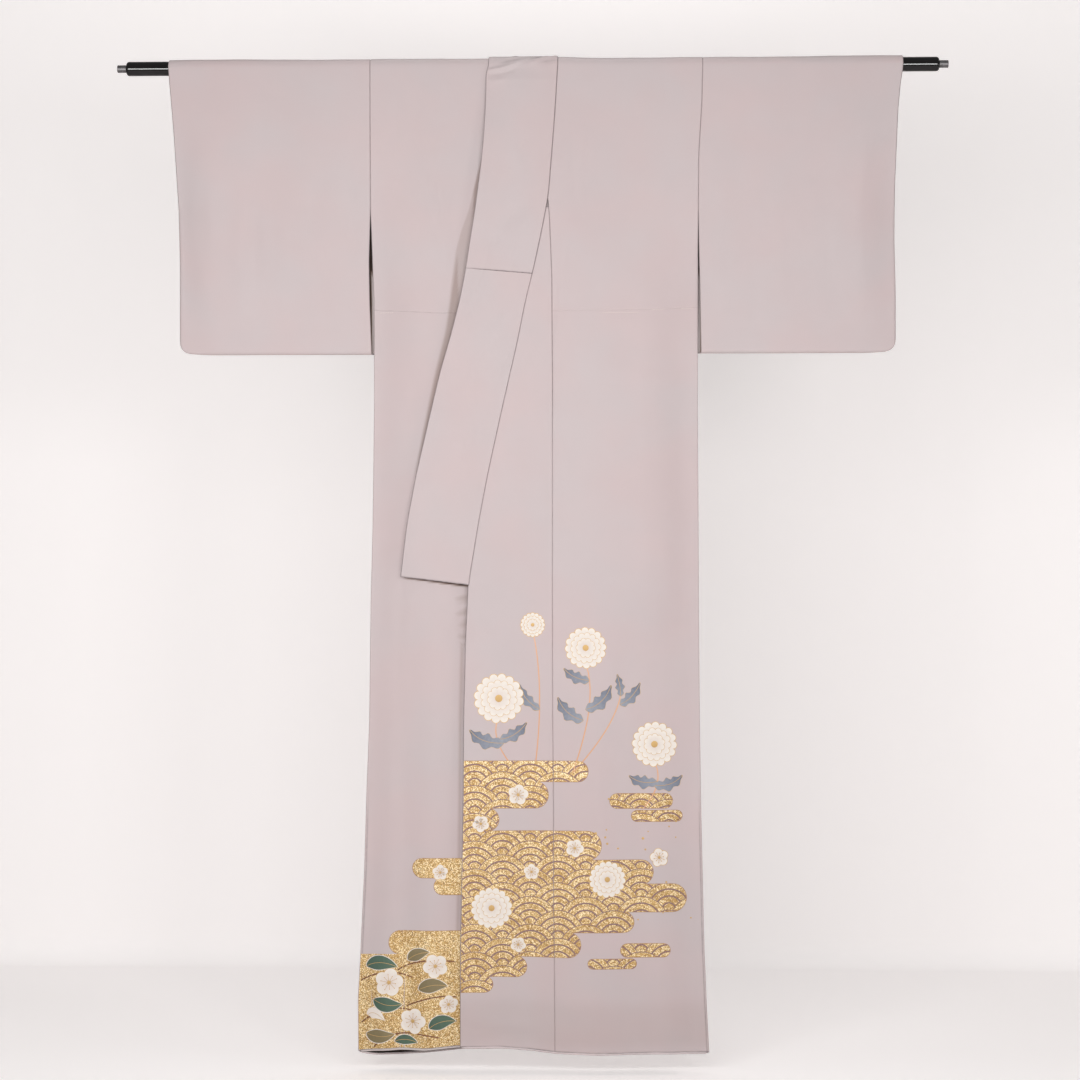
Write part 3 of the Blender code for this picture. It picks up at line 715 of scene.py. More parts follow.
def bodyPanel(side):
    settings = bodyPanels[side]
    outward = 1 if side == "left" else -1
    neck = garment["leftNeck"] if side == "left" else garment["rightNeck"]
    frontY = leftFrontY if side == "left" else rightFrontY
    halfGap = outward * garment["seamGap"] / 2
    tuckRows = tuple(waistTuck["height"] + shift for shift in (-3, -1.8, -1.0, -0.4, 0, 0.4, 1.0, 1.8, 3))
    footRows = tuple(np.arange(-876, -846, 2)) if side == "right" else ()
    down = levels(0, garment["hem"], hems["rows"] + tuckRows + footRows)
    inner = innerEdge(side, down) + halfGap
    outer = along(bodySides, side, down)
    columns = spread(np.minimum(inner, outer), np.maximum(inner, outer), settings["steps"])
    if side == "right":
        columns = gatherColumns(columns, down)
    z = np.repeat(down[:, None], columns.shape[1], axis=1)
    y = frontY(columns, z)
    rollIn = seamRoll(np.abs(columns - inner[:, None]))
    rollOut = seamRoll(np.abs(columns - outer[:, None])) * sideShare(z)
    y = y + rollIn + rollOut - tuckRelief(z) + seamRoll(z - garment["hem"]) * seam["atHem"]
    # painted shade along the seams, the tuck's line, the hem's edge and the back's edge
    tucked = np.exp(-(((z - waistTuck["height"]) / waistTuck["width"]) ** 2)) * tuckShade(columns)
    shadeFront = (rollIn * seamTone(z) + rollOut) / seam["depth"] + tucked + hemShade(columns, z)
    shadeFront = shadeFront + sideLine(columns, z, side)
    # painted shade: a faint band above the hem, and on the right front the shadow of the left front's edge and of the
    # collar's foot
    shadow = paintedHemBand(z)
    if side == "right":
        shadow = np.maximum(shadeByCollar(columns, z), shadeUnderFoot(columns, z))
    z = hemHeight(columns, z + tuckShift(columns, z), "front")
    settle = smooth(-down / garment["settle"])[:, None]
    arcStart = -shoulderRadius(columns, side) + rollIn + rollOut
    y = arcStart + (y - arcStart) * settle
    # over the rod
    inner0, outer0 = neck + halfGap, float(along(bodySides, side, 0))
    across = spread([min(inner0, outer0)], [max(inner0, outer0)], settings["steps"])
    angles = np.radians(np.linspace(0, 180, 19))[1:-1, None]
    rolled = seamRoll(np.abs(across - inner0)) + seamRoll(np.abs(across - outer0))
    radius = shoulderRadius(across, side) - rolled
    arcX = np.repeat(across, len(angles), axis=0)
    # painted shade along the seams and the shoulder fold over the rod
    shadeArc = np.repeat(rolled / seam["depth"], len(angles), axis=0) + shoulderShade(angles)
    arcY = -radius * np.cos(angles)
    arcZ = radius * np.sin(angles) + shoulderWave(arcX) * np.sin(angles) ** 2
    # down the back
    neckline = -(garment["neckDepth"] - garment["neckSlit"] / 2)
    upper = np.linspace(0, neckline, 9)
    lower = levels(neckline - garment["neckSlit"], garment["hem"], hems["rows"])[::-1]
    backDown = np.concatenate((upper, lower))
    backInner = np.where(backDown >= neckline, neck, garment["centreBack"]) + halfGap
    backOuter = along(bodySides, side, backDown)
    backX = spread(np.minimum(backInner, backOuter), np.maximum(backInner, backOuter), settings["steps"])
    backZ = np.repeat(backDown[:, None], backX.shape[1], axis=1)
    rollIn = seamRoll(np.abs(backX - backInner[:, None]))
    rollOut = seamRoll(np.abs(backX - backOuter[:, None])) * sideShare(backZ)
    byNeck = smooth((backZ + 60) / 60)
    backDepth = shoulderRadius(backX, side) * byNeck + backY(backX, backZ) * (1 - byNeck)
    backDepth = backDepth - rollIn - rollOut - seamRoll(backZ - garment["hem"]) * seam["atHem"]
    # the same painted shade on the back
    shadeBack = (rollIn + rollOut) / seam["depth"] + hemShade(backX, backZ) + sideLine(backX, backZ, side)
    backZ = hemHeight(backX, backZ, "back")
    x = np.concatenate((columns, arcX, backX))
    y = np.concatenate((y, arcY, backDepth))
    z = np.concatenate((z, arcZ, backZ))
    turned = np.concatenate((shadeFront, shadeArc, shadeBack))
    # painted shade inside the back near the hem
    hollow = smooth((-z - 1590) / 30) * (y > 0) * settings["hemHollow"]
    unshaded = np.zeros((len(x) - len(shadow), x.shape[1]))
    piece = clothGrid(f"{side}Body", x, y, z, turned, hollow, np.concatenate((shadow, unshaded)))
    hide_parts(*settings["replaces"])
    return piece


# Overlap panels: between a front and its free edge, from a tip under the collar to the hem
overlapPanels = {
    "left": {"steps": 20, "flat": (0.158, 1.41), "area": 0.20, "replaces": "okumi_left"},
    "right": {"steps": 20, "flat": (0.158, 1.41), "area": 0.20, "replaces": "okumi_right"},
}


def overlapPanel(side):
    settings = overlapPanels[side]
    okumi, collar = (leftOkumi, leftCollar) if side == "left" else (rightOkumi, rightCollar)
    outward = 1 if side == "left" else -1
    frontY = leftFrontY if side == "left" else rightFrontY
    down = levels(garment["okumiStart"], garment["hem"], hems["rows"])
    sewn = along(okumi, "seam", down, 3) - outward * garment["seamGap"] / 2
    atCollar = collarEdge(collar, "seam", down) + outward * garment["seamGap"] / 2
    free = np.where(down >= garment["collarFoot"], atCollar, along(okumi, "edge", down, 3))
    x = spread(np.minimum(sewn, free), np.maximum(sewn, free), settings["steps"])
    z = np.repeat(down[:, None], x.shape[1], axis=1)
    rollSewn, rollFree = seamRoll(np.abs(x - sewn[:, None])), seamRoll(np.abs(x - free[:, None]))
    y = frontY(x, z) + rollSewn + rollFree + seamRoll(z - garment["hem"]) * seam["atHem"]
    # painted shade along the seams, the free edge and the hem line
    turned = (rollSewn * seamTone(z) + rollFree) / seam["depth"] + hemShade(x, z)
    shadow = paintedHemBand(z) if side == "left" else z * 0
    z = hemHeight(x, z, "front")
    piece = clothGrid(f"{side}Overlap", x, y, z, turned, shadow=shadow)
    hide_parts(settings["replaces"])
    return piece


# Collar: its left half lies over the right half and over the rod to the back neckline
collarStrips = {
    "left": {"steps": 46, "flat": (0.116, 0.98), "replaces": ("collar_left_front", "collar_left_back")},
    "right": {"steps": 15, "flat": (0.116, 0.98), "replaces": ("collar_right_front", "collar_right_back")},
    "over": {"steps": 46, "flat": (0.116, 0.46), "replaces": ("over_collar_left_front", "over_collar_left_back")},
    "overRight": {"steps": 15, "flat": (0.116, 0.33), "replaces": ("over_collar_right",)},
    "backOverlap": 5.0,
    "sewnRoll": 0.9,  # how far the sewn edge turns in, set against the free edge
    "thickness": 0.9,
}
# Painted shade lines in the crumples over the rod: from one end to the other (x, height over the curve), width,
# strength
topLines = (
    ((-74, -8), (-26, 4), 3.0, 0.16),
    ((-50, 3), (-6, 13), 2.2, 0.3),
    ((-2, 11), (28, 19), 1.8, 0.5),
    ((16, 4), (44, 9), 1.8, 0.2),
    ((-42, 15), (-16, 21), 1.8, 0.35),
)


def crumpleShade(x, z):
    tone = np.zeros(np.broadcast(x, z).shape)
    for (x0, z0), (x1, z1), width, strength in topLines:
        share = np.clip((x - x0) / (x1 - x0), 0, 1)
        off = np.hypot(x - (x0 + (x1 - x0) * share), z - (z0 + (z1 - z0) * share))
        tone += strength * np.sin(math.pi * (0.1 + 0.8 * share)) * np.exp(-((off / width) ** 2))
    return tone


def collarStrip(name, side, foot, top, lift, radius, overRodTo):
    settings = collarStrips[name]
    table = leftCollar if side == "left" else rightCollar
    outward = 1 if side == "left" else -1
    frontY = leftFrontPlain if side == "left" else rightFrontY
    down = levels(top, foot, (foot + 0.6, foot + 1.4, foot + 2.6, *np.arange(-30, top - 1, 2)))
    free, sewn = collarEdge(table, "free", down), collarEdge(table, "seam", down) - outward * garment["seamGap"] / 2
    shares = spread(np.minimum(free, sewn), np.maximum(free, sewn), settings["steps"])
    shares = np.abs(shares - free[:, None]) / np.abs(sewn - free)[:, None]
    at = down[:, None] + along(collarSlant, "rise", down, 3)[:, None] * (1 - shares)
    free, sewn = collarEdge(table, "free", at), collarEdge(table, "seam", at) - outward * garment["seamGap"] / 2
    x = free + (sewn - free) * shares
    y = frontY(x, at) - lift
    if side == "left":
        y = y - creaseRelief(collarCreases, x, at)
    rolled = seamRoll(np.abs(x - free)) + seamRoll(np.abs(x - sewn)) * collarStrips["sewnRoll"]
    y = y + rolled + seamRoll(down - foot)[:, None] * seam["atHem"]
    # painted shade along the collar's turned edges, and a line of it along its foot, darker toward its seam
    footLine = np.exp(-(((down - foot) / 1.3) ** 2))[:, None] * (0.35 + 0.65 * smooth(shares / 0.35))
    turned = rolled / seam["depth"] + footLine
    z = at
    if overRodTo is not None:
        neck = garment["leftNeck"] if side == "left" else garment["rightNeck"]
        free0, sewn0 = float(along(table, "free", 0, 1)), neck - outward * garment["seamGap"] / 2
        across = spread([min(free0, sewn0)], [max(free0, sewn0)], settings["steps"])
        rolled0 = seamRoll(np.abs(across - free0)) + seamRoll(np.abs(across - sewn0)) * collarStrips["sewnRoll"]
        settle = smooth(-down / garment["settle"])[:, None]
        y = -(radius - rolled) + (y + radius - rolled) * settle - creaseRelief(topCreases, x, at)
        angles = np.radians(np.linspace(0, 180, 37))[1:-1, None]
        backDown = np.linspace(0, overRodTo, 10)[:, None]
        arcX = np.repeat(across, len(angles) + len(backDown), axis=0)
        over = radius * angles
        crumpled = radius - rolled0 + creaseRelief(topCreases, across, over) - 0.4 * np.sin(angles) ** 4
        lifted = shoulderWave(across) * np.sin(angles) ** 2
        arcY = np.concatenate((-crumpled * np.cos(angles), (radius - rolled0) + backDown * 0))
        arcZ = np.concatenate((crumpled * np.sin(angles) + lifted, backDown + rolled0 * 0))
        x, y, z = np.concatenate((x, arcX)), np.concatenate((y, arcY)), np.concatenate((z, arcZ))
        turnedArc = np.repeat(rolled0 / seam["depth"], len(arcX), axis=0)
        turnedArc[: len(angles)] += shoulderShade(angles) + crumpleShade(across, over)
        turned = np.concatenate((turned + crumpleShade(x[: len(at)], at), turnedArc))
    piece = clothGrid(f"{name}Collar", x, y, z, turned, thickness=collarStrips["thickness"])
    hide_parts(*settings["replaces"])
    return piece


# Sleeves: flat bags round the rod, open at the cuff and, below the seam, toward the body
sleeves = {
    "right": {
        "height": (20, -105, -235, -324, -390, -481),
        "outer": (-607, -597.2, -589.5, -587.3, -587.3, -587.3),
        "gap": (0.3, 0.3, 0.3, 5.7, 7.4, 4.2),
        "fold": {"from": -336, "width": 6.4},  # how the body's folded side shows inside the gap
        "bottom": -479.6,
        "steps": 44,
        "flat": (0.325, 0.985),
        "replaces": "sleeve_right",
    },
    "left": {
        "height": (20, -13, -35, -75, -203, -235, -294, -377, -481),
        "outer": (619, 616, 612.5, 609, 604, 603.6, 603.2, 605.3, 605.3),
        "gap": (0.3, 0.3, 0.3, 0.3, 0.3, 0.3, 1.5, 3.8, 5.9),
        "fold": {"from": -338, "width": 5.2},
        "bottom": -478.5,
        "steps": 44,
        "flat": (0.33, 0.985),
        "replaces": "sleeve_left",
    },
    "depths": {
        "height": (0, -70, -150, -232, -360, -475),
        "middle": (13.3, 13.0, 12.0, 10.6, 8.6, 5.0),
        "edge": (13.3, 10.5, 6.5, 2.4, 2.4, 2.4),
    },
    "behind": {"height": (0, -235, -290, -335, -480), "gap": (0.3, 0.3, 0.3, -1.6, -1.6)},
    "corner": 18.0,
    "bottomRadius": 5.0,
    "cuffTaper": 60.0,
    "cuffFold": 3.5,  # half the cuff's thickness where it is sewn shut
    "armholeDark": 0.93,
}


def sleeve(side):
    settings = sleeves[side]
    outward = 1 if side == "left" else -1
    lowest = settings["bottom"] + sleeves["bottomRadius"]
    down = levels(0, lowest, (-233, -236, -239))[::-1]
    turn = np.radians(np.linspace(-90, 90, 11))[1:-1]
    arc = np.radians(np.linspace(180, 0, 19))[1:-1]
    loopZ = np.concatenate((down, np.full(len(turn), lowest), down[::-1], np.zeros(len(arc))))
    facing = np.concatenate((np.full(len(down), -1.0), np.sin(turn), np.full(len(down), 1.0), -np.cos(arc)))
    outer = along(settings, "outer", loopZ, 5)
    backShare = smooth((facing + 0.8) / 1.6)
    gap = along(settings, "gap", loopZ, 5) * (1 - backShare) + along(sleeves["behind"], "gap", loopZ, 5) * backShare
    inner = along(bodySides, side, loopZ, 5) + outward * gap
    columns = spread(np.minimum(inner, outer), np.maximum(inner, outer), settings["steps"])
    rows = np.repeat(loopZ[:, None], columns.shape[1], axis=1)
    fromCuff = np.abs(columns - outer[:, None])
    fromArm = np.abs(columns - inner[:, None])
    middle = along(sleeves["depths"], "middle", rows)
    edge = along(sleeves["depths"], "edge", rows)
    armDepth = np.minimum(along(bodySides, "sleeveDepth", rows), garment["clothRadius"])
    depth = edge + (middle - edge) * smooth(fromCuff / sleeves["cuffTaper"])
    depth = armDepth + (depth - armDepth) * smooth(fromArm / 70)
    relief = creaseRelief(sleeveCreases[side], columns, rows) * smooth(fromCuff / 25)
    depth = depth + relief * smooth(-rows / 60)
    sewn = smooth((garment["sleeveSewnTo"] - rows) / 4)  # the cuff is closed below its opening
    rounded = np.sqrt(np.clip(1 - (1 - np.clip(fromCuff / sleeves["cuffFold"], 0, 1)) ** 2, 0, 1))
    depth = depth * (1 - sewn + sewn * rounded)
    rolls = seamRoll(fromArm) + seamRoll(fromCuff) * (1 - sewn)
    depth = np.maximum(depth - rolls, 0.0)
    # painted shade along the turned edges, and along the shoulder fold over the rod
    toned = rolls / seam["depth"]
    toned[-len(arc):] += shoulderShade(arc)[:, None]
    reach = np.clip(sleeves["corner"] - fromCuff, 0, None)
    corner = sleeves["corner"] - np.sqrt(sleeves["corner"] ** 2 - reach**2)
    y = depth * facing[:, None]
    z = rows + corner * smooth((-rows - 430) / 45)
    first, last = len(down), len(down) + len(turn)
    drop = np.minimum(depth[first:last], sleeves["bottomRadius"])
    z[first:last] -= drop * np.cos(turn)[:, None]
    overRod = slice(last + len(down), None)
    radius = depth[overRod]
    z[overRod] = radius * np.sin(arc)[:, None] + shoulderWave(columns[overRod]) * np.sin(arc)[:, None] ** 2
    # painted shade inside the armhole gap, on the lining of the back layer, left off where the body's folded side shows
    deep = smooth((26 - fromArm) / 14) * smooth((garment["sleeveSewnTo"] + 20 - rows) / 25) * (facing[:, None] > 0.2)
    folded = smooth((settings["fold"]["from"] - rows) / 16) * (fromArm < settings["fold"]["width"])
    deep = sleeves["armholeDark"] * deep * (1 - folded)
    # the loop is closed on its first row and turned so that its faces point outwards
    x, y, z, turned, hollow = [np.concatenate((part, part[:1]))[::-1] for part in (columns, y, z, toned, deep)]
    piece = clothGrid(f"{side}Sleeve", x, y, z, turned, hollow, merge=True)
    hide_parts(settings["replaces"])
    return piece


leftBody, rightBody = bodyPanel("left"), bodyPanel("right")
leftOverlap, rightOverlap = overlapPanel("left"), overlapPanel("right")
print("body and overlap panels hung")
neckFoot = -(garment["neckDepth"] - garment["neckSlit"])
overFoot = neckFoot - collarStrips["backOverlap"]
foot, overEnd, lift = garment["collarFoot"], garment["overCollarFoot"], garment["overCollarLift"]
outRadius, inRadius = garment["collarRadius"], garment["clothRadius"]
collarLeft = collarStrip("left", "left", foot, 0, 0.0, outRadius, overFoot)
collarRight = collarStrip("right", "right", foot, 0, 0.0, inRadius, neckFoot)
overCollar = collarStrip("over", "left", overEnd, 0, lift, outRadius + lift, overFoot)
overCollarRight = collarStrip("overRight", "right", overEnd, -26, lift, inRadius, None)
print("collar folded over")
leftSleeve, rightSleeve = sleeve("left"), sleeve("right")
print("sleeves spread")

# Goldwork and flowers along the skirt, laid on the fronts and round the side seam as thin shaped patches
skirt = {
    "thickness": 0.3,
    "ground": 0.14,  # lift of the gold off the cloth
    "step": 0.09,  # lift of each further layer
    "edge": {"below": 0.06, "grow": 0.8},  # the brown edge that shows round each bar of haze
    "hazeTop": -1156.0,
    # half height and end (x) of each bar, from the top down
    "hazeBars": (
        (17, 96), (22, 30), (19, -52), (24, 118), (20, 204),
        (23, 259), (17, 172), (21, 84), (18, -6), (14, -62),
    ),
    # middle (z), half height and the ends (x) that show
    "islands": ((-1222, 12, 132, 236), (-1247, 9, 168, 252), (-1470, 11, 150, 232), (-1492, 8, 96, 176)),
    "rightBars": ((-1460, 20, -236), (-1335, 16, -196), (-1365, 14, -160)),
    "backBars": ((-1499, 19, -150), (-1537, 19, -206), (-1573, 17, -128), (-1606, 16, -182)),
    "groundTop": -1480.0,
    "hidden": -62.0,  # the right front's gold ends here, under the left front
}
sprinkle = {"count": 46, "off": (4, 46), "z": (-1440, -1215), "size": (0.9, 2.1), "within": 268}
rims = {"outerPetal": 0.9, "petal": 0.6, "plum": 0.85, "slate": 0.6, "leaf": 1.2}  # thread round each shape
# rings of petals: how many, where they start and end, and their half width, as shares of the size
petalRings = ((16, 0.40, 1.0, 0.165), (14, 0.24, 0.74, 0.14), (10, 0.12, 0.47, 0.12))
# kind, x, z, size, turn and panel
flowers = (
    ("chrysanthemum", -52, -1052, 41, 8, "left"),
    ("chrysanthemum", 92, -968, 34, 20, "left"),
    ("chrysanthemum", 206, -1128, 37, 3, "left"),
    ("chrysanthemum", 4, -930, 20, 0, "left"),
    ("chrysanthemum", -64, -1400, 34, 14, "left"),
    ("chrysanthemum", 128, -1352, 30, 5, "left"),
    ("plum", -20, -1212, 17, 10, "left"),
    ("plum", -82, -1260, 14, 40, "left"),
    ("plum", 74, -1300, 15, 25, "left"),
    ("plum", 214, -1316, 15, 60, "left"),
    ("plum", 2, -1340, 13, 0, "left"),
    ("plum", -20, -1462, 13, 30, "left"),
    ("plum", -236, -1528, 24, 12, "right"),
    ("plum", -158, -1500, 21, 45, "right"),
    ("plum", -196, -1594, 22, 20, "right"),
    ("plum", -136, -1568, 16, 0, "right"),
    ("plum", -150, -1342, 13, 0, "right"),
    ("plum", -214, -1504, 13, 0, "back"),
    ("plum", -246, -1566, 17, 30, "back"),
    ("plum", -176, -1580, 12, 50, "back"),
)
# start, bend and end (x, z)
stems = (
    ((-30, -1164), (-66, -1120), (-54, -1088)),
    ((70, -1176), (112, -1060), (94, -1000)),
    ((186, -1236), (222, -1196), (208, -1162)),
    ((8, -1166), (24, -1040), (6, -948)),
    ((70, -1176), (140, -1100), (150, -1046)),
)
# kind, half width, start, bend and end
leaves = (
    ("slate", 14, (-44, -1126), (-84, -1128), (-100, -1104)),
    ("slate", 12, (-50, -1120), (-22, -1116), (-6, -1092)),
    ("slate", 13, (88, -1088), (56, -1080), (46, -1050)),
    ("slate", 13, (92, -1070), (124, -1062), (134, -1030)),
    ("slate", 11, (98, -1022), (70, -1020), (56, -1002)),
    ("slate", 12, (206, -1196), (236, -1200), (252, -1180)),
    ("slate", 12, (210, -1190), (182, -1196), (164, -1180)),
    ("slate", 10, (16, -1070), (-12, -1056), (-18, -1028)),
    ("slate", 11, (149, -1062), (172, -1052), (182, -1026)),
    ("slate", 8, (150, -1048), (150, -1030), (144, -1012)),
    ("green", 12, (-274, -1500), (-250, -1488), (-222, -1502)),
    ("olive", 10, (-204, -1490), (-190, -1476), (-168, -1476)),
    ("green", 12, (-262, -1556), (-240, -1572), (-214, -1566)),
    ("olive", 12, (-186, -1540), (-164, -1528), (-138, -1536)),
    ("olive", 11, (-274, -1612), (-252, -1624), (-226, -1616)),
    ("green", 12, (-168, -1606), (-150, -1592), (-124, -1598)),
    ("white", 8, (-272, -1582), (-262, -1572), (-244, -1592)),
    ("green", 8, (-226, -1628), (-206, -1622), (-188, -1630)),
)
twigs = (
    ((-284, -1524), (-240, -1500), (-196, -1520)),
    ((-222, -1508), (-186, -1482), (-124, -1494)),
    ((-284, -1594), (-236, -1560), (-182, -1580)),
    ((-212, -1572), (-168, -1546), (-122, -1556)),
    ((-262, -1636), (-228, -1600), (-150, -1624)),
)
patches = {}


def fabricY(panel, x, z):
    # outer face of the cloth, with its turned seam and free edge
    if panel == "back":
        return backY(x, z) + garment["clothThickness"] / 2
    frontY, okumi = (leftFrontY, leftOkumi) if panel == "left" else (rightFrontY, rightOkumi)
    turned = seamRoll(np.abs(x - along(okumi, "seam", z, 3))) + seamRoll(np.abs(x - along(okumi, "edge", z, 3)))
    return frontY(x, z) + turned - garment["clothThickness"] / 2


def addPatch(look, panel, x, z, lift):
    patches.setdefault(look, []).append((panel, x, z, lift))


outlines = {
    "petal": lambda s: (0.38 + 0.62 * smooth(s / 0.7)) * np.sqrt(1 - np.clip((s - 0.74) / 0.26, 0, 1) ** 2),
    "disc": lambda s: np.sqrt(np.clip(1 - (2 * s - 1) ** 2, 0, 1)),
    "leaf": lambda s: np.sin(math.pi * s**0.8) ** 0.85,
    "lobed": lambda s: np.sin(math.pi * s**0.8) ** 0.7 * (0.78 + 0.22 * np.cos(6.4 * math.pi * (s - 0.1))),
    "stem": lambda s: np.clip(np.minimum(s, 1 - s) * 40, 0.3, 1),
}


def ribbon(line, halfWidth, kind, rows=11, columns=5, grow=0.0):
    # a strip along a curve, as wide as its outline says
    start, bend, end = [np.array(point, float) for point in line]
    heading = (end - start) / np.hypot(*(end - start))
    start, end = start - heading * grow, end + heading * grow
    s = ((1 - np.cos(np.linspace(0, math.pi, rows))) / 2)[:, None]
    spine = (1 - s) ** 2 * start + 2 * s * (1 - s) * bend + s**2 * end
    run = 2 * (1 - s) * (bend - start) + 2 * s * (end - bend)
    run = run / np.hypot(run[:, :1], run[:, 1:])
    width = (halfWidth + grow) * np.maximum(outlines[kind](s), 0.02)
    t = np.linspace(-1, 1, columns)[None, :]
    return spine[:, :1] + run[:, 1:] * width * t, spine[:, 1:] - run[:, :1] * width * t


def straight(x, z, angle, near, far):
    alongX, alongZ = math.sin(math.radians(angle)), math.cos(math.radians(angle))
    first, last = (x + alongX * near, z + alongZ * near), (x + alongX * far, z + alongZ * far)
    return first, ((first[0] + last[0]) / 2, (first[1] + last[1]) / 2), last


def layRimmed(fillLook, rimLook, panel, line, width, kind, lift, rim, rows=11):
    addPatch(rimLook, panel, *ribbon(line, width, kind, rows, grow=rim), lift)
    addPatch(fillLook, panel, *ribbon(line, width, kind, rows), lift + skirt["step"])


def goldDisc(panel, x, z, angle, near, far, width, lift):
    addPatch("goldThread", panel, *ribbon(straight(x, z, angle, near, far), width, "disc"), lift)


def chrysanthemum(panel, x, z, size, turn, base):
    # three rings of long petals round a gold heart
    for layer, (count, near, far, width) in enumerate(petalRings):
        lift = base + layer * 2 * skirt["step"]
        rim = rims["petal" if layer else "outerPetal"]
        for number in range(count):
            angle = turn + (number + layer * 0.5) * 360 / count
            line = straight(x, z, angle, size * near, size * far)
            layRimmed("whiteSilk", "goldThread", panel, line, size * width, "petal", lift, rim)
    heart = size * 0.15
    goldDisc(panel, x, z, 0, -heart, heart, heart, base + 6 * skirt["step"])


def plum(panel, x, z, size, turn, base):
    # five round petals, ten stamens with tips, and a gold heart
    for number in range(5):
        line = straight(x, z, turn + number * 72, size * 0.12, size)
        layRimmed("whiteSilk", "goldThread", panel, line, size * 0.46, "disc", base, rims["plum"])
    for number in range(10):
        angle = turn + 18 + number * 36
        reach = size * (0.58 if number % 2 else 0.48)
        line = straight(x, z, angle, size * 0.1, reach)
        addPatch("goldThread", panel, *ribbon(line, 0.3, "stem", columns=3), base + 2 * skirt["step"])
        goldDisc(panel, x, z, angle, reach - 0.8, reach + 0.8, 0.8, base + 3 * skirt["step"])
    heart = size * 0.13
    goldDisc(panel, x, z, 0, -heart, heart, heart, base + 3 * skirt["step"])


def hazePatch(look, panel, middle, half, low, high, roundLow, roundHigh, lift, grow=0.0):
    # a bar with round ends; low and high are its ends, as functions of the height
    turn = np.radians(np.linspace(-90, 90, 15))
    z = middle + (half + grow) * np.sin(turn)
    pull = (half + grow) * (1 - np.cos(turn))
    left = low(z) + roundLow * (pull - grow)
    right = high(z) - roundHigh * (pull - grow)
    cuts = [(left, right)]
    if panel == "left":
        sewn = along(leftOkumi, "seam", z, 3)
        cuts = []
        if np.min(left) < np.min(sewn) - 8:
            cuts.append((left, np.minimum(right, sewn - 0.25)))
        if np.max(right) > np.max(sewn) + 30:
            cuts.append((np.maximum(left, sewn + 0.25), np.maximum(right, sewn + 1.5)))
    for first, last in cuts:
        steps = max(4, int(np.max(last - first) / 7))
        x = spread(first, last, steps)
        addPatch(look, panel, x, np.repeat(z[:, None], x.shape[1], axis=1), lift)


def hazeBar(look, *form):
    # a bar of haze over its brown edge
    hazePatch(look, *form, skirt["ground"])
    hazePatch("hazeEdge", *form, skirt["ground"] - skirt["edge"]["below"], grow=skirt["edge"]["grow"])


def upright(x):
    return lambda z: np.full_like(z, float(x))


def freeEdge(z):
    return along(leftOkumi, "edge", z, 3) + 0.4


def sideEdge(z):
    return along(bodySides, "right", z) + 0.9


def layHaze():
    hidden = upright(skirt["hidden"])
    top = skirt["hazeTop"]
    for half, end in skirt["hazeBars"]:
        hazeBar("goldLeaf", "left", top - half, half, freeEdge, upright(end), 0, 1)
        top -= 2 * half
    for middle, half, low, high in skirt["islands"]:
        hazeBar("goldLeaf", "left", middle, half, upright(low), upright(high), 1, 1)
    for middle, half, low in skirt["rightBars"]:
        hazeBar("plainGold", "right", middle, half, upright(low), hidden, 1, 0)
    for middle, half, high in skirt["backBars"]:
        hazeBar("plainGold", "back", middle, half, sideEdge, upright(high), 0, 1)
    z = np.linspace(garment["hem"] + 1.2, skirt["groundTop"], 30)
    x = spread(sideEdge(z), hidden(z), 34)
    addPatch("plainGold", "right", x, np.repeat(z[:, None], x.shape[1], axis=1), skirt["ground"])


def layLeaf(kind, width, *line):
    # slate leaves on the left front, rimmed with gold; the others on the right front, rimmed with white
    slate = kind == "slate"
    panel, shape, rimLook = ("left", "lobed", "goldThread") if slate else ("right", "leaf", "whiteSilk")
    base = skirt["ground"] + (0.0 if slate else 0.08)
    layRimmed(kind + "Silk", rimLook, panel, line, width, shape, base, rims["slate" if slate else "leaf"], 27)
    addPatch("goldThread", panel, *ribbon(line, 0.35, "stem", 27, 3), base + 2 * skirt["step"])


def laySkirt():
    layHaze()
    for kind, x, z, size, turn, panel in flowers:
        draw = chrysanthemum if kind == "chrysanthemum" else plum
        draw(panel, x, z, size, turn, skirt["ground"] + 0.12)
    for line in stems:
        addPatch("peachThread", "left", *ribbon(line, 1.0, "stem", 31, 3), skirt["ground"])
    for line in twigs:
        addPatch("brownThread", "right", *ribbon(line, 1.1, "stem", 31, 3), skirt["ground"] + 0.05)
    for leaf in leaves:
        layLeaf(*leaf)
    chance = random.Random(7)
    for _ in range(sprinkle["count"]):
        # small squares of gold leaf scattered off the ends of the haze
        end = chance.choice(skirt["hazeBars"][3:8])[1]
        x = end + chance.uniform(*sprinkle["off"])
        z = chance.uniform(*sprinkle["z"])
        size = chance.uniform(*sprinkle["size"])
        if x < sprinkle["within"]:
            line = straight(x, z, chance.uniform(0, 90), -size, size)
            addPatch("goldThread", "left", *ribbon(line, size, "stem", 5, 3), skirt["ground"] - 0.02)


def layPatches(name, look, entries):
    # every patch is a copy of one grid, moved to its place; all are joined and given their thickness
    masters, parts = {}, []
    for panel, x, z, lift in entries:
        if x.shape not in masters:
            masters[x.shape] = newGrid(*x.shape)
        master, row, column = masters[x.shape]
        part = copyOf(master)
        if panel == "back":
            x, z = x[:, ::-1], z[:, ::-1]
        outward = 1 if panel == "back" else -1
        y = fabricY(panel, x, z) + outward * lift
        z = hemHeight(x, z, "back" if panel == "back" else "front")
        placePoints(part, x, y, z, row, column)
        parts.append(part)
    for master, row, column in masters.values():
        bpy.data.objects.remove(master)
    piece = joinParts(name, parts, look)
    body = piece.modifiers.new("body", "SOLIDIFY")
    body.thickness = skirt["thickness"] * mm
    body.offset = -1.0
    applyModifiers(piece)
    bpy.ops.object.shade_smooth_by_angle(angle=math.radians(40))
    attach(piece, "root")
    return piece


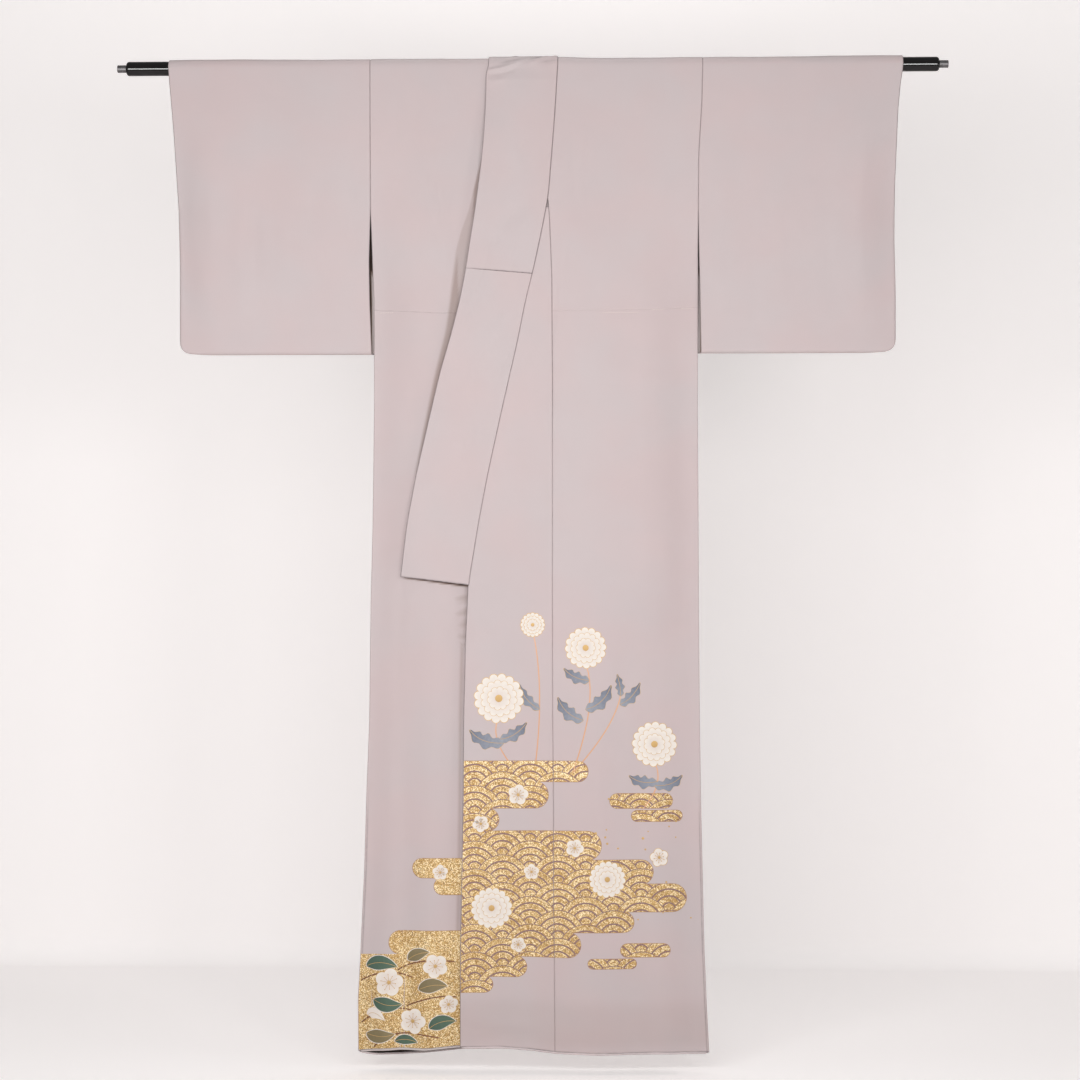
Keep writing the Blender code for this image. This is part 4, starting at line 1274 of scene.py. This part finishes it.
# Rows of overlapping scales, each of concentric rings
waves = {"Radius": 0.046, "Rings": 4.0, "Line": 0.115}
gold = {
    "flakes": 850.0,  # flakes in a metre
    "clouds": 38.0,
    "ground": ((190, 150, 90), (212, 176, 116)),
    "dark": (148, 111, 66),
    "darkShare": 0.22,
    "pale": (252, 232, 190),
    "paleFrom": 0.96,
    "waveLine": (142, 110, 106),
    "bump": 0.0003,
}


def makeWaveGroup():
    inputs = {"Vector": "Vector", "Radius": "Float", "Rings": "Float", "Line": "Float"}
    group, given, end = newGroup("seaWaves", inputs, {"Line Mask": "Float"})
    split = addNode(group, "ShaderNodeSeparateXYZ", {0: given["Vector"]}).outputs
    across = maths(group, "DIVIDE", maths(group, "MULTIPLY", split["X"], 0.5), given["Radius"])
    up = maths(group, "DIVIDE", maths(group, "MULTIPLY", split["Z"], 2.0), given["Radius"])
    lowest = maths(group, "CEIL", maths(group, "SUBTRACT", up, 2.0))
    distance = None
    for row in (2, 1, 0):
        # the lower rows lie over the higher ones
        number = maths(group, "ADD", lowest, float(row))
        place = maths(group, "MULTIPLY_ADD", number, 0.5, across)
        sideways = maths(group, "SUBTRACT", place, maths(group, "ROUND", place))
        sideways = maths(group, "MULTIPLY", sideways, 2.0)
        height = maths(group, "MULTIPLY", maths(group, "SUBTRACT", up, number), 0.5)
        square = maths(group, "MULTIPLY_ADD", height, height, maths(group, "MULTIPLY", sideways, sideways))
        reach = maths(group, "SQRT", square)
        if distance is None:
            distance = reach
            continue
        inside = maths(group, "LESS_THAN", reach, 1.0)
        distance = maths(group, "MULTIPLY_ADD", inside, maths(group, "SUBTRACT", reach, distance), distance)
    scaled = maths(group, "MULTIPLY", distance, given["Rings"])
    off = maths(group, "ABSOLUTE", maths(group, "SUBTRACT", scaled, maths(group, "ROUND", scaled)))
    far = maths(group, "GREATER_THAN", scaled, 0.5)
    connect(group, end, {"Line Mask": maths(group, "MULTIPLY", maths(group, "LESS_THAN", off, given["Line"]), far)})
    return group


waveGroup = makeWaveGroup()


def goldLeafLook(name, drawWaves):
    # gold leaf and sprinkled flakes, with or without drawn waves
    look, tree, shader = newLook(name, {"Specular IOR Level": 0.4})
    place = addNode(tree, "ShaderNodeTexCoord").outputs["Object"]
    flakes = addNode(tree, "ShaderNodeTexVoronoi", {"Vector": place, "Scale": gold["flakes"]}, feature="F1")
    flake = addNode(tree, "ShaderNodeSeparateColor", {0: flakes.outputs["Color"]}).outputs
    cloud = noise(tree, place, gold["clouds"], 3.0)
    dark = maths(tree, "LESS_THAN", flake[1], gold["darkShare"])
    pale = maths(tree, "GREATER_THAN", maths(tree, "MULTIPLY_ADD", cloud, 0.5, flake[0]), gold["paleFrom"])
    colour = mixColour(tree, dark, ramp(tree, cloud, *gold["ground"]), gold["dark"])
    colour = mixColour(tree, pale, colour, gold["pale"])
    metal = maths(tree, "MULTIPLY_ADD", flake[0], 0.1, 0.3)
    rough = maths(tree, "MULTIPLY_ADD", flake[2], 0.3, 0.34)
    addBump(tree, shader, flake[2], 0.4, gold["bump"])
    if drawWaves:
        line = addNode(tree, "ShaderNodeGroup", {"Vector": place} | waves, node_tree=waveGroup).outputs[0]
        colour = mixColour(tree, line, colour, gold["waveLine"])
        metal = maths(tree, "MULTIPLY_ADD", line, -0.3, metal)
    connect(tree, shader, {"Base Color": colour, "Metallic": metal, "Roughness": rough})
    return look


def threadLook(name, first, second, metallic=0.0, stitches=26.0):
    # satin stitch: fine threads along each patch, its colour changing from root to tip
    look, tree, shader = newLook(name, {"Metallic": metallic, "Specular IOR Level": 0.35})
    place = addNode(tree, "ShaderNodeTexCoord").outputs
    split = addNode(tree, "ShaderNodeSeparateXYZ", {0: place["UV"]}).outputs
    waver = noise(tree, place["Object"], 240.0)
    tip = maths(tree, "MULTIPLY_ADD", waver, 0.5, maths(tree, "SUBTRACT", split["Y"], 0.25), clamp=True)
    rows = maths(tree, "SINE", maths(tree, "MULTIPLY", split["X"], stitches * 2 * math.pi))
    addBump(tree, shader, maths(tree, "MULTIPLY_ADD", rows, 0.5, waver), 0.35, 0.00015)
    rough = maths(tree, "MULTIPLY_ADD", waver, 0.2, 0.4)
    connect(tree, shader, {"Base Color": mixColour(tree, tip, first, second), "Roughness": rough})
    return look


skirtLooks = {
    "goldLeaf": goldLeafLook("goldLeafWaves", True),
    "plainGold": goldLeafLook("goldLeafPlain", False),
    "hazeEdge": threadLook("hazeEdgeBrown", (160, 118, 84), (172, 130, 90), stitches=3.0),
    "goldThread": threadLook("coiledGoldThread", (190, 152, 96), (214, 178, 120), metallic=0.3, stitches=5.0),
    "whiteSilk": threadLook("whiteStitchedSilk", (222, 208, 200), (240, 233, 224)),
    "slateSilk": threadLook("slateStitchedSilk", (158, 162, 172), (98, 104, 122)),
    "greenSilk": threadLook("darkGreenSilk", (66, 88, 76), (92, 116, 98)),
    "oliveSilk": threadLook("oliveSilk", (116, 104, 74), (142, 128, 96)),
    "peachThread": threadLook("peachThread", (214, 160, 122), (226, 180, 146), stitches=3.0),
    "brownThread": threadLook("darkBrownThread", (104, 62, 46), (132, 84, 62), stitches=3.0),
}
laySkirt()
skirtPieces = [layPatches(name + "Work", skirtLooks[name], entries) for name, entries in patches.items()]
print("skirt design laid:", sum(len(entries) for entries in patches.values()), "patches")

# Padded rolls of lining that show along the hems
hemRolls = {
    "radius": 1.9,
    "drop": 1.3,
    "leftFront": (-116.4, 296.0),
    "rightFront": (-287.2, 124.0),
    "back": (-287.2, 296.0),
}


def hemRoll(name, look, place, surface, side):
    low, high = hemRolls[place]
    across = np.linspace(low, high, int((high - low) / 6))
    share = (across - low) / (high - low)
    radius = hemRolls["radius"] * np.sqrt(np.clip(1 - np.abs(2 * share - 1) ** 60, 0, 1))
    angles = np.radians(np.linspace(0, 360, 13))[:, None]
    hem = garment["hem"]
    inward = 0.5 if side == "front" else -0.5
    y = surface(across, hem) + inward - radius * np.cos(angles) * 0.9
    z = hemHeight(across, hem, side) - hemRolls["drop"] + radius * np.sin(angles)
    x = np.repeat(across[None, :], len(angles), axis=0)
    # painted shade under the roll and where it meets the cloth, stronger here and there
    strength = 0.5 + 0.35 * np.sin(across / 23 + 1) + 0.15 * np.sin(across / 7)
    under = np.exp(-(((np.degrees(angles) - 290) / 26) ** 2))
    against = np.exp(-(((np.degrees(angles) - 48) / 22) ** 2))
    turned = (under + 0.8 * against) * (strength + 0.25)
    piece = gridMesh(name, x, y, z, x, lengths(y, z), merge=True, shades={"paintedShade": turned})
    piece.data.materials.append(look)
    piece.data.shade_smooth()
    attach(piece, "root")
    return piece


leftRoll = hemRoll("leftHemRoll", rollSilk, "leftFront", leftFrontY, "front")
rightRoll = hemRoll("rightHemRoll", lining, "rightFront", rightFrontY, "front")
backRoll = hemRoll("backHemRoll", rollSilk, "back", backY, "back")


def sewStitches():
    # short raised stitches below the waist tuck, one shape copied along each row
    stitch = waistTuck["stitch"]
    deselectAll()
    bpy.ops.mesh.primitive_uv_sphere_add(segments=10, ring_count=6, radius=stitch["radius"] * mm)
    first = bpy.context.object
    for vertex in first.data.vertices:
        vertex.co.x *= stitch["length"] / 2 / stitch["radius"]
    copies = []
    chance = random.Random(3)
    for low, high, height in waistTuck["rows"]:
        for x in np.arange(low, high, stitch["spacing"]):
            x += chance.uniform(-0.3, 0.3)
            z = height + chance.uniform(-0.15, 0.15)
            surface = leftFrontY if x > 0 else rightFrontY
            y = float(surface(np.array(x), np.array(z))) - garment["clothThickness"] / 2 - 0.1
            copies.append(copyOf(first))
            copies[-1].data.transform(Matrix.Translation((x * mm, y * mm, z * mm)))
    bpy.data.objects.remove(first)
    piece = joinParts("tuckStitches", copies, skirtLooks["whiteSilk"])
    piece.data.shade_smooth()
    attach(piece, "root")
    return piece


stitches = sewStitches()
print("hem rolls and stitches sewn")

rodSize = {"radius": 12.0, "length": 1355.0, "chamfer": 4.4, "sides": 96}
pinSize = {"radius": 6.3, "length": 15.0, "chamfer": 0.8, "sides": 48, "gap": 0.3}
rodColours = {
    "lacquer": ((12, 10, 10), (21, 19, 19)),
    "metal": ((62, 59, 60), (157, 154, 155)),
}


def lacquerLook():
    look, tree, shader = newLook("blackLacquer", {"Specular IOR Level": 0.5})
    drift = noise(tree, addNode(tree, "ShaderNodeTexCoord").outputs["Object"], 40.0, 4.0)
    rough = maths(tree, "MULTIPLY_ADD", drift, 0.08, 0.08)
    connect(tree, shader, {"Base Color": ramp(tree, drift, *rodColours["lacquer"]), "Roughness": rough})
    addBump(tree, shader, drift, 0.12, 0.0004)
    return look


def pinLook():
    # fine marks of brushing round the pin
    look, tree, shader = newLook("brushedPin", {"Metallic": 0.9})
    place = addNode(tree, "ShaderNodeTexCoord").outputs["Object"]
    brushed = addNode(tree, "ShaderNodeMapping", {"Vector": place, "Scale": (2500.0, 180.0, 180.0)}).outputs[0]
    grain = noise(tree, brushed, 1.0)
    rough = maths(tree, "MULTIPLY_ADD", grain, 0.3, 0.28)
    connect(tree, shader, {"Base Color": ramp(tree, grain, *rodColours["metal"]), "Roughness": rough})
    return look


def selectEnds(bar):
    # the bar's two end faces, in edit mode
    bpy.ops.object.mode_set(mode="EDIT")
    bpy.ops.mesh.select_mode(type="FACE")
    bpy.ops.mesh.select_all(action="DESELECT")
    bpy.ops.object.mode_set(mode="OBJECT")
    for face in bar.data.polygons:
        face.select = abs(face.normal.x) > 0.9
    bpy.ops.object.mode_set(mode="EDIT")


def turnedBar(name, size, middle, look, node):
    deselectAll()
    bpy.ops.mesh.primitive_cylinder_add(
        vertices=size["sides"], radius=size["radius"] * mm, depth=size["length"] * mm, end_fill_type="NGON",
        location=(middle * mm, 0, 0), rotation=(0, math.pi / 2, 0),
    )
    bar = bpy.context.object
    bar.name = bar.data.name = name
    bpy.ops.object.transform_apply(location=True, rotation=True, scale=True)
    selectEnds(bar)
    bpy.ops.mesh.select_mode(type="EDGE")
    bpy.ops.mesh.region_to_loop()
    bpy.ops.mesh.bevel(offset=size["chamfer"] * mm, segments=3, affect="EDGES")
    bpy.ops.object.mode_set(mode="OBJECT")
    soften = bar.modifiers.new("soften", "BEVEL")
    soften.width = size["chamfer"] * 0.16 * mm
    soften.segments = 2
    soften.limit_method = "ANGLE"
    soften.angle_limit = math.radians(25)
    applyModifiers(bar)
    bar.data.materials.append(look)
    bpy.ops.object.shade_smooth_by_angle(angle=math.radians(25))
    # keeps the long faces' shading straight up to the rounded ends
    even = bar.modifiers.new("even", "WEIGHTED_NORMAL")
    even.weight = 100
    even.keep_sharp = True
    applyModifiers(bar)
    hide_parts(node)
    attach(bar, "root")


pinMetal = pinLook()
pinAt = rodSize["length"] / 2 + pinSize["gap"] + pinSize["length"] / 2
turnedBar("lacquerRod", rodSize, 0, lacquerLook(), "rod")
turnedBar("rodPinRight", pinSize, -pinAt, pinMetal, "pin_right")
turnedBar("rodPinLeft", pinSize, pinAt, pinMetal, "pin_left")
print("rod and pins turned")

# Floor, backdrop, light and camera
room = {
    "wall": 1150.0,
    "floor": -1675.0,
    "width": 9000.0,
    "front": -6500.0,
    "height": 5200.0,
    "cove": 60.0,  # radius of the bend between floor and wall
    "bend": (0.4, 0.6),  # where the bend starts and ends along the sheet
    "colour": (243, 239, 238),
    "cameraDistance": 4600.0,
    "cameraYaw": 2.1,
    "aim": (15.5, 0.0, -789.2),
    "lens": 92.0,
    "ambient": 0.23,
    "glow": 0.335,  # the backdrop is lit on its own, for the camera alone
}
# where each stands, what it faces, its size in metres and its power; the high ones shine along the rod's middle
lamps = {
    "keyLight": ((-250, -2200, -590), (-250, 0, -590), 1.3, 23.5),
    "sideLight": ((2700, -1550, -650), (0, 0, -800), 0.4, 7.5),
    "topLight": ((0, 120, 1500), (0, 60, 0), 0.9, 9.0),
    "highLightRight": ((-1030, -2200, -378), (-721, 0, 0), 0.4, 11.0),
    "highLightLeft": ((890, -2200, -378), (623, 0, 0), 0.4, 11.0),
}


def backdropLook():
    colour = linear(room["colour"])
    values = {"Base Color": colour, "Emission Color": colour, "Roughness": 0.9, "Specular IOR Level": 0.1}
    look, tree, shader = newLook("paleBackdrop", values)
    seen = addNode(tree, "ShaderNodeLightPath").outputs["Is Camera Ray"]
    connect(tree, shader, {"Emission Strength": maths(tree, "MULTIPLY", seen, room["glow"])})
    fromBehind = maths(tree, "MULTIPLY", seen, addNode(tree, "ShaderNodeNewGeometry").outputs["Backfacing"])
    clear = addNode(tree, "ShaderNodeBsdfTransparent").outputs[0]
    mixed = addNode(tree, "ShaderNodeMixShader", {0: fromBehind, 1: shader.outputs[0], 2: clear})
    connect(tree, tree.nodes["Material Output"], {"Surface": mixed.outputs[0]})
    return look


def buildStage():
    # one sheet: the floor, a round cove, and the wall
    deselectAll()
    bpy.ops.mesh.primitive_grid_add(x_subdivisions=2, y_subdivisions=40, size=2)
    stage = bpy.context.object
    stage.name = "paleStage"
    wall, floor, front, cove, (first, last) = [room[key] for key in ("wall", "floor", "front", "cove", "bend")]
    for vertex in stage.data.vertices:
        share = (vertex.co.y + 1) / 2
        if share <= first:
            y, z = front + (wall - cove - front) * share / first, floor
        elif share <= last:
            angle = (share - first) / (last - first) * math.pi / 2
            y, z = wall - cove + cove * math.sin(angle), floor + cove * (1 - math.cos(angle))
        else:
            y, z = wall, floor + cove + room["height"] * (share - last) / (1 - last)
        vertex.co = (vertex.co.x * room["width"] / 2 * mm, y * mm, z * mm)
    stage.data.materials.append(backdropLook())
    stage.data.shade_smooth()


def addArea(name, place, target, size, power):
    light = bpy.data.lights.new(name, "AREA")
    light.shape = "SQUARE"
    light.size = size
    light.energy = power
    lamp = bpy.data.objects.new(name, light)
    lamp.location = Vector(place) * mm
    lamp.rotation_euler = (Vector(target) - Vector(place)).to_track_quat("-Z", "Y").to_euler()
    lamp.visible_camera = False
    bpy.context.scene.collection.objects.link(lamp)


buildStage()
for name, lamp in lamps.items():
    addArea(name, *lamp)
world = bpy.data.worlds.new("studio")
world.use_nodes = True
world.node_tree.nodes["Background"].inputs["Color"].default_value = (1.0, 0.99, 0.985, 1.0)
world.node_tree.nodes["Background"].inputs["Strength"].default_value = room["ambient"]
bpy.context.scene.world = world
bpy.context.scene.view_settings.view_transform = "Standard"

cameraData = bpy.data.cameras.new("camera")
cameraData.lens = room["lens"]
cameraData.sensor_width = 36.0
camera = bpy.data.objects.new("camera", cameraData)
yaw = math.radians(room["cameraYaw"])
aim = Vector(room["aim"]) * mm
camera.location = aim + Vector((math.sin(yaw), -math.cos(yaw), 0)) * room["cameraDistance"] * mm
camera.rotation_euler = (aim - camera.location).to_track_quat("-Z", "Y").to_euler()
bpy.context.scene.collection.objects.link(camera)
bpy.context.scene.camera = camera

print("scene ready")
